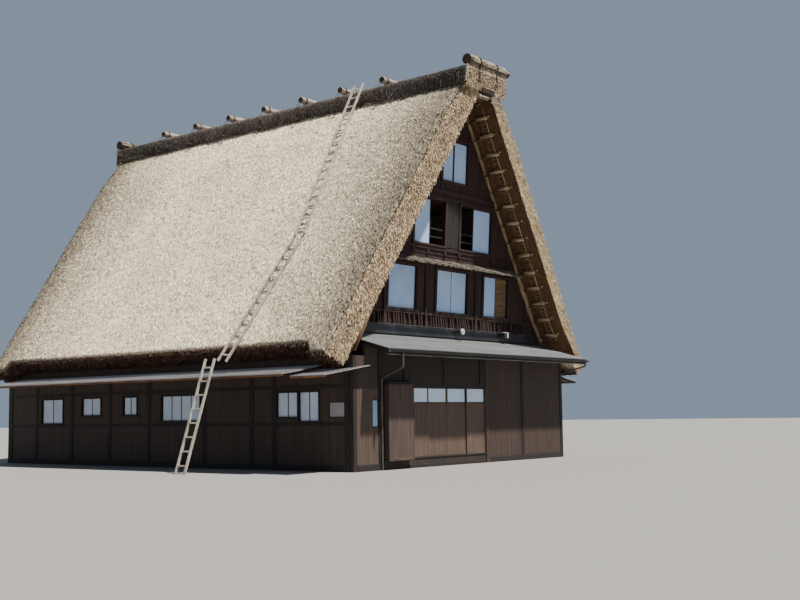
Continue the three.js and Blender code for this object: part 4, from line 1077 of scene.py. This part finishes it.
def boarding(stock, wall, span, heights, size, holes=(), top_of=None):
    """Upright boards over a wall, cut round its openings. Size is their width and thickness, and top_of
    gives a sloping upper limit."""
    edges = board_edges(*span, size[0], [edge for hole in holes for edge in hole[:2]])
    for left, right in zip(edges, edges[1:]):
        parts = [heights]
        for hole_left, hole_right, sill, head in holes:
            if hole_left < (left + right) / 2 < hole_right:
                parts = [part for low, high in parts
                         for part in ((low, min(high, sill)), (max(low, head), high)) if part[1] > part[0]]
        tone = chance.random()
        for low, high in parts:
            highs = [min(high, top_of(edge)) if top_of else high for edge in (left, right)]
            if min(highs) >= low + 0.05:
                depth = size[1] * chance.uniform(0.7, 1.0)
                board = (left + SEAM, right - SEAM)
                wall.slanted(stock, board, (-0.004, depth), (low, low), highs, 2, tone)


def under_thatch(x):
    return INNER_APEX - INNER_SLOPE * abs(x) - 0.05


def gable(end):
    """Boards on three storeys, framed windows, rails across the storeys, and slats along the foot."""
    name = ENDS[end] + "_gable"
    wall = Wall(0, end, GABLE_FACE)
    boards, pale_boards, posts, pale_rails, edging = stocks(5, lean=True)
    for low, high in STOREYS.values():
        half = inner_half(low) - 0.16
        boarding(boards, wall, (-half, half), (low, high), (0.17, 0.02), GABLE_WINDOWS.values(), under_thatch)
    boarding(pale_boards, wall, (-0.36, 0.36), (6.7, 8.13), (0.14, 0.036))
    for key, (left, right, sill, head) in GABLE_WINDOWS.items():
        low, high = STOREYS[key.split("_")[0]]
        high = min(high, head + 0.25) if key == "top" else high
        for x in (left - 0.055, right + 0.055):
            wall.post(posts, x, 0.055, (-0.02, 0.055), (low, high))
        wall.rail(posts, (left - 0.11, right + 0.11), (-0.02, 0.07), (sill - 0.07, sill))
        wall.rail(posts, (left - 0.11, right + 0.11), (-0.02, 0.065), (head, head + 0.07))
    for z, proud in GABLE_RAILS:
        half = inner_half(z) - 0.2
        wall.rail(posts, (-half, half), (-0.01, proud), (z - 0.045, z + 0.045))
    for x in GABLE_STRUTS:
        wall.post(posts, x, 0.05, (-0.01, 0.045), (6.42, 6.56))
    for x in GABLE_POSTS:
        wall.post(posts, x, 0.05, (-0.01, 0.045), (SLAT_FOOT, min(6.2, under_thatch(x))))
    slat = -SLAT_REACH
    while slat < SLAT_REACH:
        width = chance.uniform(0.05, 0.07)
        wall.block(posts, (slat, slat + width), (0.0, 0.04), (SLAT_FOOT, SLAT_TOP), chance.uniform(0.0, 0.5))
        slat += chance.choice(SLAT_STEPS)
    half = inner_half(8.46) - 0.2
    wall.rail(pale_rails, (-half, half), (-0.01, 0.096), (8.458, 8.474), 0.5)
    # The flashing's top lip, lighter than the flashing: a real lip with a painted highlight standing for its
    # lit top
    wall.rail(edging, (-5.03, 5.03), (0.0, 0.04), (4.15, SLAT_FOOT))
    for start, stop in OPEN_SPANS:
        for z in GUARD_RAILS:
            wall.rail(pale_rails, (start + 0.01, stop - 0.01), (-0.06, -0.035), (z - 0.02, z + 0.025), 0.35)
        edge = max(start, stop, key=abs)
        wall.post(posts, edge, 0.02, (-0.075, -0.02), GABLE_WINDOWS["middle_left"][2:])
    boards.shown(f"{name}_boards", gable_board, "gable_boards", bevel=0.003)
    pale_boards.shown(f"{name}_centre_boards", grey_board, "gable_boards", bevel=0.003)
    posts.shown(f"{name}_posts", gable_post, "gable_boards", bevel=0.006)
    pale_rails.shown(f"{name}_rails", grey_board, "gable_boards", bevel=0.003)
    if end < 0:
        edging.shown("front_flashing_edge", pipe_sheet, "dark_metal", bevel=0.002)


def screen(wall, paper, edges, span, heights, seam):
    """A sliding screen: a sheet in a thin dark frame, with the seam between its leaves."""
    left, right = span
    low, high = heights
    wall.block(paper, (left + SEAM, right - SEAM), (-0.066, -0.032), (low + SEAM, high - SEAM))
    for x in (left, right - 0.022):
        wall.block(edges, (x, x + 0.022), (-0.07, -0.024), (low, high))
    for z in (low, high - 0.02):
        wall.rail(edges, (left, right), (-0.07, -0.024), (z, z + 0.02))
    if seam:
        wall.block(edges, seam, (-0.05, -0.024), (low, high))


def gable_screens(end):
    name = ENDS[end]
    wall = Wall(0, end, GABLE_FACE)
    for key, (left, right, sill, head) in GABLE_WINDOWS.items():
        paper, edges = stocks(2, lean=True)
        screen(wall, paper, edges, PAPER_SPANS.get(key, (left, right)), (sill, head), SCREEN_SEAMS.get(key))
        paper.shown(f"{name}_{key}_paper", screen_paper, "paper", bevel=0.004,
                    replaced=f"front_{key}_screen" if end < 0 else BACK_SCREENS.get(key))
        edges.shown(f"{name}_{key}_paper_edges", gable_post, "gable_boards")
    ochre = Stock(lean=True)
    height = sill + 0.003
    while height < head - 0.02:
        top = min(height + PLANK_STEP, head - 0.003)
        wall.rail(ochre, (OCHRE_FROM + 0.003, right - 0.003), (-0.066, -0.034), (height, top - 0.004))
        height = top
    ochre.shown(f"{name}_ochre_planks", ochre_plank, "ochre_boards", bevel=0.003,
                replaced="front_ochre_panel" if end < 0 else None)


for build in (gable, gable_screens):
    for end in ENDS:
        build(end)


# The small roofs

def pent_roof(end):
    """A narrow roof of split boards that run down its slope, with three battens across them."""
    name = ENDS[end] + "_pent"
    base, ribs = stocks(2, lean=True)

    def top(y):
        return PENT_WALL_TOP - (PENT_WALL_TOP - PENT_EAVE_TOP) / (PENT_FRONT - PENT_BACK) * (y - PENT_BACK)

    def plank(stock, span, front, unders, grain):
        outs = (front, PENT_BACK)[::-end]
        corners = [(x, end * y, top(y) - under) for under in unders for y in outs for x in span]
        stock.hexahedron(corners, grain)

    plank(base, (-PENT_HALF, PENT_HALF), PENT_FRONT - 0.06, (0.055, 0.035), 0)
    x = -PENT_HALF
    while x < PENT_HALF - 0.02:
        right = min(x + chance.uniform(0.07, 0.13), PENT_HALF)
        rise = chance.uniform(0.0, 0.022)
        front = PENT_FRONT - chance.uniform(0.0, 0.055)
        plank(ribs, (x + 0.008, right - 0.008), front, (0.045, rise), 1)
        x = right
    for y in PENT_BATTENS:
        Wall(0, end).rail(ribs, (-PENT_HALF, PENT_HALF), (y, y + 0.028), (top(y) - 0.02, top(y) + 0.004), 0.2)
    ribs.shown(f"{name}_boards", split_board, "grey_wood", bevel=0.004, replaced=f"{name}_roof")
    base.shown(f"{name}_underside", gable_post, "gable_boards")


def sloped_sheet(roof, wall, span, run, eave_top, slope, thick, drop):
    """Lapped courses of sheet over boards and rafters, from the eave in to the wall."""
    sheet, under, rafters, fascia = roof
    eave, inner = run

    def slab(stock, ends, outs, depths, grain):
        stock.hexahedron([wall.spot(along, out, eave_top + slope * (eave - out) - depth)
                          for row in depths for out, depth in zip(outs, row) for along in ends], grain)

    out = eave
    while out > inner + 0.01:
        back = max(inner, out - SHEET_COURSE)
        slab(sheet, span, (out, back), ((0.024, 0.024), (0.0, SHEET_STEP)), wall.axis)
        out = back
    slab(under, span, (eave - 0.015, inner), ((0.04,) * 2, (0.024,) * 2), wall.axis)
    slab(fascia, span, (eave - 0.002, eave - 0.026), ((drop,) * 2, (0.02,) * 2), wall.axis)
    along = span[0] + 0.06
    while along < span[1] - 0.05:
        slab(rafters, (along, along + 0.05), (eave - 0.03, inner), ((thick - 0.002,) * 2, (0.04,) * 2),
             1 - wall.axis)
        along += RAFTER_PITCH


def small_roof(name, wall, parts, slopes, finish, edge, replaced=None):
    """A sheet roof whose edge board hangs down by the drop. A part is its span and its run; slopes are
    the eave's height, the rise per metre, the thickness and the drop."""
    roof = stocks(4)
    for span, run in parts:
        sloped_sheet(roof, wall, span, run, *slopes)
    sheet, under, rafters, fascia = roof
    sheet.shown(f"{name}_sheets", finish, "sheet_roof", replaced=replaced or f"{name}_roof")
    under.shown(f"{name}_sheathing", wall_post, "dark_boards")
    rafters.shown(f"{name}_rafters", wall_post, "dark_boards", bevel=0.004)
    fascia.shown(f"{name}_fascia", *edge, bevel=0.003)


for end in ENDS:
    pent_roof(end)
for end, right in ((-1, LEAN_TO_RIGHT), (1, -LEAN_TO_LEFT)):
    small_roof(f"{ENDS[end]}_lean_to", Wall(0, end), [((LEAN_TO_LEFT, right), (LEAN_TO_EAVE, LEAN_TO_WALL))],
               (LEAN_TO_EAVE_TOP, LEAN_TO_SLOPE, LEAN_TO_THICK, 0.17), painted_sheet,
               (dark_edge, "dark_boards"))
for side, edge_wood in ((-1, eave_board), (1, silvered_board)):
    small_roof(f"{SIDES[side]}_aisle", Wall(1, side), [((-7.04, 7.04), (7.65, AISLE_WALL))],
               (2.62, AISLE_SLOPE, AISLE_THICK, AISLE_THICK), bare_sheet, (edge_wood, "pole_wood"))
small_roof("left_porch", Wall(1, -1),
           [((-8.0, -7.0403), (7.35, AISLE_WALL)), ((-8.25, -8.0003), (7.35, 5.5))],
           (2.56, AISLE_SLOPE, AISLE_THICK, AISLE_THICK), bare_sheet, (eave_board, "pole_wood"))


# Ground storey

def rim(wall, posts, hole, width, out):
    """Edging on all four sides of an opening."""
    left, right, sill, head = hole
    for x in (left - width, right):
        wall.block(posts, (x, x + width), out, (sill - width, head + width))
    for z in (sill - width, head):
        wall.rail(posts, (left, right), out, (z, z + width))


def flush_pane(wall, pane, posts, hole):
    """A pane that lies level with the boards in a thin edging."""
    left, right, sill, head = hole
    wall.block(pane, (left + SEAM, right - SEAM), (-0.07, 0.008), (sill + SEAM, head - SEAM))
    rim(wall, posts, hole, 0.02, (-0.02, 0.02))


def window(wall, posts, panes, hole, divisions, depth=-0.03):
    """Jambs, head and sill round an opening, its pane, and the dark bars that divide it."""
    left, right, sill, head = hole
    for x in (left - 0.05, right):
        wall.block(posts, (x, x + 0.05), (-0.02, 0.04), (sill - 0.06, head + 0.06))
    wall.rail(posts, (left - 0.08, right + 0.08), (-0.02, 0.06), (sill - 0.06, sill))
    wall.rail(posts, (left - 0.05, right + 0.05), (-0.02, 0.045), (head, head + 0.06))
    for i in range(1, divisions):
        x = left + (right - left) * i / divisions
        wall.post(posts, x, 0.016, (depth - 0.01, depth + 0.012), (sill, head))
    for x in (left, right - 0.025):
        wall.block(posts, (x, x + 0.025), (depth - 0.01, depth + 0.01), (sill, head))
    wall.block(panes, (left + 0.004, right - 0.004), (-0.158, -0.035), (sill + 0.004, head - 0.004))


def set_posts(wall, posts, places, heights, proud=0.036):
    for x in places:
        wall.post(posts, x, POST_HALF, (-0.01, proud), heights)


def set_rails(wall, posts, span, *heights):
    for z in heights:
        wall.rail(posts, span, (-0.01, 0.0252), (z - RAIL_HALF, z + RAIL_HALF))


def wall_shown(name, boards, posts, **others):
    """Shows a wall's boards and posts; others are stocks of other boards, by name, with their finish."""
    boards.shown(f"{name}_boards", wall_board, "dark_boards", bevel=0.003)
    for key, (stock, finish) in others.items():
        stock.shown(f"{name}_{key}_boards", finish, "dark_boards", bevel=0.003)
    posts.shown(f"{name}_posts", wall_post, "dark_boards", bevel=0.006)


def front_wall():
    wall = Wall(0, -1, FACE)
    boards, posts, jamb, high_boards, pale_boards, pane = stocks(6)
    under = LEAN_TO_UNDER
    # Low on the wing the boards take a lighter finish up to SUNLIT_TOP: painted sunlight
    for stock, span, heights, holes in (
            (boards, (DOOR_RIGHT, RETURN_FACE), (BOARD_FOOT, under), ()),
            (high_boards, (DOOR_LEFT, DOOR_RIGHT), (DOOR_HEAD + 0.07, under), ()),
            (pale_boards, (LEAN_TO_LEFT, -CORNER_POST), (BOARD_FOOT, SUNLIT_TOP), [NARROW_WINDOW]),
            (boards, (LEAN_TO_LEFT, -CORNER_POST), (SUNLIT_TOP, under), ()),
            (high_boards, (-CORNER_POST, DOOR_LEFT), (BOARD_FOOT, under), ()),
            (pale_boards, (-CORNER, LEAN_TO_LEFT), (BOARD_FOOT, SUNLIT_TOP), ()),
            (boards, (-CORNER, LEAN_TO_LEFT), (SUNLIT_TOP, WALL_TOP), ())):
        boarding(stock, wall, span, heights, END_BOARDS, holes)
    set_posts(wall, posts, (2.39, 4.813, -CORNER_POST), (0.0, under), 0.032)
    set_posts(wall, posts, (-5.88,), (0.0, WALL_TOP), 0.022)
    set_posts(wall, posts, (-3.72, -1.82, 0.06), (2.41, under), 0.032)
    wall.block(boards, (DOOR_RIGHT - 0.0005, DOOR_RIGHT + 0.1505), (-0.01, 0.032), (0.0, under), 0.5)
    wall.block(jamb, (DOOR_RIGHT - 0.004, DOOR_RIGHT - 0.0005), (-0.018, 0.031), (0.3, DOOR_HEAD))
    for span, out, heights in (((DOOR_LEFT, 0.44), (-0.01, 0.014), (DOOR_HEAD, DOOR_HEAD + 0.075)),
                               ((LEAN_TO_LEFT, RETURN_FACE), (-0.01, 0.02), (under - 0.1, under)),
                               ((0.44, 4.74), (-0.01, 0.03), (0.0, 0.17)),
                               ((-5.8, -4.905), (-0.01, 0.03), (0.0, 0.17)),
                               ((DOOR_LEFT, DOOR_RIGHT), (-0.01, 0.02), (0.0, 0.1)),
                               ((DOOR_LEFT, DOOR_RIGHT), (-0.11, 0.02), (0.262, 0.3))):
        wall.rail(posts, span, out, heights)
    jamb.shown("door_jamb", door_board, "door_boards")
    flush_pane(wall, pane, posts, NARROW_WINDOW)
    # The high boards carry painted shade, the corner boards painted sunlight
    wall_shown("front_wall", boards, posts, high=(high_boards, shaded_upper_board),
               corner=(pale_boards, sunlit_corner_board))
    pane.shown("narrow_blue_pane", sky_painted_pane, "paper", bevel=0.003, replaced="narrow_front_pane")


def side_wall(side):
    name = SIDES[side]
    wall = Wall(1, side, SIDE_FACE)
    start, holes = (-7.88, [*SIDE_HOLES, PORCH_WINDOW]) if side < 0 else (-6.98, SIDE_HOLES)
    span = (start, 7.88)
    boards, posts, panes, upper, pane = stocks(5)
    boarding(boards, wall, span, (PLINTH_TOP, SIDE_TOP), SIDE_BOARDS, holes)
    boarding(upper, wall, span, (2.9, 3.08), (0.2, 0.012))
    set_posts(wall, posts, (start + 0.08, *SIDE_POSTS), (0.0, SIDE_TOP))
    set_rails(wall, posts, span, 1.28, 2.3)
    wall.rail(posts, span, (-0.01, 0.04), (0.0, PLINTH_TOP))
    for hole in SIDE_HOLES:
        window(wall, posts, panes, hole, 2 if hole[1] - hole[0] < 1.5 else 4, -0.035)
    if side < 0:
        flush_pane(wall, pane, posts, PORCH_WINDOW)
        pane.shown("porch_window_pane", grey_pane, "paper", bevel=0.003)
    wall_shown(f"{name}_wall", boards, posts, upper=(upper, wall_board))
    panes.shown(f"{name}_window_paper", window_paper, "paper", bevel=0.003, replaced=f"{name}_sashes")


def back_wall():
    wall = Wall(0, 1, FACE)
    boards, posts, panes = stocks(3)
    boarding(boards, wall, (LEAN_TO_LEFT, -LEAN_TO_LEFT), (BOARD_FOOT, LEAN_TO_UNDER), END_BOARDS, BACK_HOLES)
    for span in ((-CORNER, LEAN_TO_LEFT), (-LEAN_TO_LEFT, CORNER)):
        boarding(boards, wall, span, (BOARD_FOOT, WALL_TOP), END_BOARDS)
    set_posts(wall, posts, BACK_POSTS, (0.0, WALL_TOP))
    set_rails(wall, posts, (-CORNER, CORNER), 2.34)
    wall.rail(posts, (-CORNER, CORNER), (-0.01, 0.03), (0.0, 0.17))
    for hole in BACK_HOLES:
        window(wall, posts, panes, hole, 2)
    wall_shown("back_wall", boards, posts)
    panes.shown("back_window_paper", window_paper, "paper", bevel=0.003, replaced="back_sashes")


def return_wall():
    """The front room stands in from the right corner; its short walls are boarded as the others are."""
    boards, posts = stocks(2)
    short_walls = ((Wall(1, 1, RETURN_FACE), (-7.88, -RETURN_BACK), 3.3, -7.8),
                   (Wall(0, -1, RETURN_BACK), (4.91, CORNER), WALL_TOP, 5.88))
    for wall, span, top, _ in short_walls:
        boarding(boards, wall, span, (PLINTH_TOP, top), SIDE_BOARDS)
    for wall, _, top, place in short_walls:
        set_posts(wall, posts, (place,), (0.0, top))
    for wall, span, _, _ in short_walls:
        wall.rail(posts, span, (-0.01, 0.03), (0.0, PLINTH_TOP))
    wall_shown("right_return", boards, posts)


front_wall()
for side in SIDES:
    side_wall(side)
back_wall()
return_wall()


# Door leaves, shutter box and fittings

def door_leaf(number):
    """A framed leaf: a milky pane above, upright brown boards below."""
    name = f"door_leaf_{number}"
    low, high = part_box(name)
    left, right = low.x - CENTRE, high.x - CENTRE
    stiles, boards, pane = stocks(3)
    for x in (left, right - STILE):
        boards.block((x, low.y, low.z), (x + STILE, high.y, RAIL_FOOT), 2, 0.0)
        stiles.block((x, low.y, RAIL_FOOT), (x + STILE, high.y, high.z), 2, 0.3)
    for stock, foot, top, tone in ((boards, low.z, low.z + 0.07, 0.2), (stiles, RAIL_FOOT, PANE_LOW, 0.3),
                                   (stiles, PANE_HIGH, high.z, 0.3)):
        stock.block((left + STILE, low.y + 0.001, foot), (right - STILE, high.y - 0.001, top), 0, tone)
    x = left + STILE
    while x < right - STILE - 0.001:
        width = min(chance.uniform(0.1, 0.14), right - STILE - x)
        boards.block((x + 0.001, low.y + 0.006, low.z + 0.07), (x + width - 0.001, high.y - 0.006, RAIL_FOOT))
        x += width
    pane.block((left + STILE, low.y + 0.012, PANE_LOW), (right - STILE, low.y + 0.02, PANE_HIGH))
    body = f"leaf_{number}"
    stiles.shown(f"{name}_frame", door_post, "door_boards", body=body, bevel=0.002, replaced=name)
    boards.shown(f"{name}_boards", door_board, "door_boards", body=body, bevel=0.002)
    pane.shown(f"{name}_pane", milky_pane, "paper", body=body)


def shutter_box():
    """The box beside the doors that holds the rain shutters, under its own small roof."""
    left, right, low, high = BOX
    boards, framing, roof = stocks(3)
    front = -FACE - BOX_DEPTH
    back = -FACE - 0.0003
    edges = board_edges(left, right, 0.19)
    for start, stop in zip(edges, edges[1:]):
        boards.block((start + 0.0015, front + 0.006, low + 0.045),
                     (stop - 0.0015, front + 0.024, high - 0.005))
    boards.block((left + 0.004, front + 0.02, low + 0.03), (left + 0.024, back - 0.004, high - 0.005))
    for x in (left, right - 0.04):
        framing.block((x, front + 0.002, low + 0.04), (x + 0.04, front + 0.025, high))
    framing.block((left, front, low), (right, back, low + 0.03), 0)
    framing.block((left, front + 0.002, low + 0.03), (right, front + 0.028, low + 0.07), 0)
    framing.block((left + 0.04, front + 0.003, high - 0.05), (right - 0.04, front + 0.025, high), 0)
    roof.block((left - 0.05, front - 0.05, high + 0.002), (right + 0.05, back, high + 0.03), 0)
    roof.block((left - 0.05, front - 0.05, high), (right + 0.05, front - 0.03, high + 0.045), 0)
    roof.block((left - 0.045, front - 0.03, high + 0.03), (right + 0.045, back, high + 0.043), 0)
    boards.shown("shutter_box_boards", box_board, "door_boards", bevel=0.003, replaced="shutter_box")
    framing.shown("shutter_box_frame", door_post, "door_boards", bevel=0.004)
    roof.shown("shutter_box_roof", dark_sheet, "dark_metal", bevel=0.004)


def gutter_fittings():
    """Brackets that hold the gutters, each with its pale end showing, and the batten behind them."""
    metal = Stock()
    for end, right in ((-1, LEAN_TO_RIGHT), (1, -LEAN_TO_LEFT)):
        near, far = sorted((end * 8.808, end * 8.824))
        metal.block((LEAN_TO_LEFT, near, 3.098), (right, far, 3.12), 0)
        near, far = sorted((end * 8.823, end * 8.84))
        x = LEAN_TO_LEFT + 0.2
        while x < right - 0.1:
            metal.block((x - 0.016, near, 3.1), (x + 0.016, far, 3.13), 1)
            x += chance.uniform(0.5, 0.6)
    metal.shown("gutter_brackets", bracket_metal, "dark_metal")


def floodlight(name, faces_front):
    """A lamp on an arm. The left one shows its round pale face, the right one its pale end."""
    low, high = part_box(name)
    housing, face, arm = stocks(3)
    left, right = low.x - CENTRE, high.x - CENTRE
    across, middle = (left + right) / 2, (low.z + high.z) / 2
    front, rear = low.y, low.y + 0.11
    if faces_front:
        face.rod([(right - 0.095, front + depth, middle) for depth in (0.001, 0.05)], 0.094, 20)
        housing.block((left + 0.02, front + 0.05, low.z), (right - 0.02, rear, high.z), 0)
    else:
        face.block((right - 0.07, front + 0.002, low.z), (right, rear, high.z))
        face.block((left, front + 0.002, high.z - 0.02), (right - 0.07, rear, high.z), 0)
        housing.block((left + 0.01, front + 0.006, low.z + 0.01), (right - 0.07, rear, high.z - 0.02), 0)
    arm.block((across - 0.02, front + 0.1, middle - 0.02), (across + 0.02, high.y, middle + 0.02), 1)
    arm.block((across - 0.06, high.y - 0.008, middle - 0.05),
              (across + 0.06, high.y - 0.0005, middle + 0.05), 1)
    housing.shown(f"{name}_housing", dark_sheet, "dark_metal", bevel=0.01, replaced=name)
    face.shown(f"{name}_face", pale_paint, "pale_metal", bevel=0.006)
    arm.shown(f"{name}_arm", dark_sheet, "dark_metal", bevel=0.003)


for number in (1, 2, 3, 4):
    door_leaf(number)
shutter_box()
gutter_fittings()
floodlight("floodlight_left", True)
floodlight("floodlight_right", False)

# Pieces of the frame whose shape is already right take their finish here
for finish, names in (
        (frame_walls, "front_wall front_wall_left front_wall_over_doors door_head door_sill left_wall "
                      "right_wall right_return_wall back_wall"),
        (cross_beam, "front_gable_beam back_gable_beam"),
        (frame_gable, "front_gable_wall back_gable_wall"),
        (floor_plank, "ground_floor attic_floor_low attic_floor_middle attic_floor_top"),
        (dark_sheet, "front_flashing"),
        (gutter_sheet, "front_gutter back_gutter"),
        (pipe_sheet, "front_corner_pipe front_right_pipe"),
        (ladder_wood, "roof_ladder_upper roof_ladder_lower leaning_ladder")):
    for name in names.split():
        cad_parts[name].data.materials.clear()
        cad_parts[name].data.materials.append(finish)


# Studio

def aimed(turn, rise):
    """A look or a beam, turned from +Y towards +X and raised."""
    ahead = Vector((math.sin(turn) * math.cos(rise), math.cos(turn) * math.cos(rise), math.sin(rise)))
    return ahead.to_track_quat("-Z", "Y")


def put_camera():
    data = bpy.data.cameras.new("camera")
    data.lens = CAMERA_LENS
    data.sensor_width = 36
    data.clip_end = 400
    camera = placed("camera", data)
    turn = aimed(CAMERA_YAW, CAMERA_PITCH).to_matrix().to_4x4()
    camera.matrix_world = Matrix.Translation(CAMERA_PLACE) @ turn @ Matrix.Rotation(CAMERA_ROLL, 4, "Z")
    bpy.context.scene.camera = camera


def put_floor():
    corners = [(x * FLOOR_REACH, y * FLOOR_REACH, 0) for x, y in ((-1, -1), (1, -1), (1, 1), (-1, 1))]
    mesh = new_mesh("studio_floor", corners, [(0, 1, 2, 3)])
    floor = placed("studio_floor", mesh)
    pale, _, finish = new_material("pale_studio_floor", 0.9)
    finish(Base_Color=colour("858380"))
    mesh.materials.append(pale)


def put_light():
    """A high soft key light from the front, a little to the right, under an even pale sky."""
    key = bpy.data.lights.new("key_light", "SUN")
    key.energy = KEY_STRENGTH
    key.angle = KEY_SOFTNESS
    key.color = KEY_COLOUR
    placed("key_light", key).rotation_euler = aimed(-KEY_TURN, -KEY_HEIGHT).to_euler()
    sky = bpy.data.worlds.new("studio_sky")
    bpy.context.scene.world = sky
    sky.use_nodes = True
    fill(sky.node_tree, sky.node_tree.nodes["Background"], Color=SKY_COLOUR, Strength=SKY_STRENGTH)


put_camera()
put_floor()
put_light()
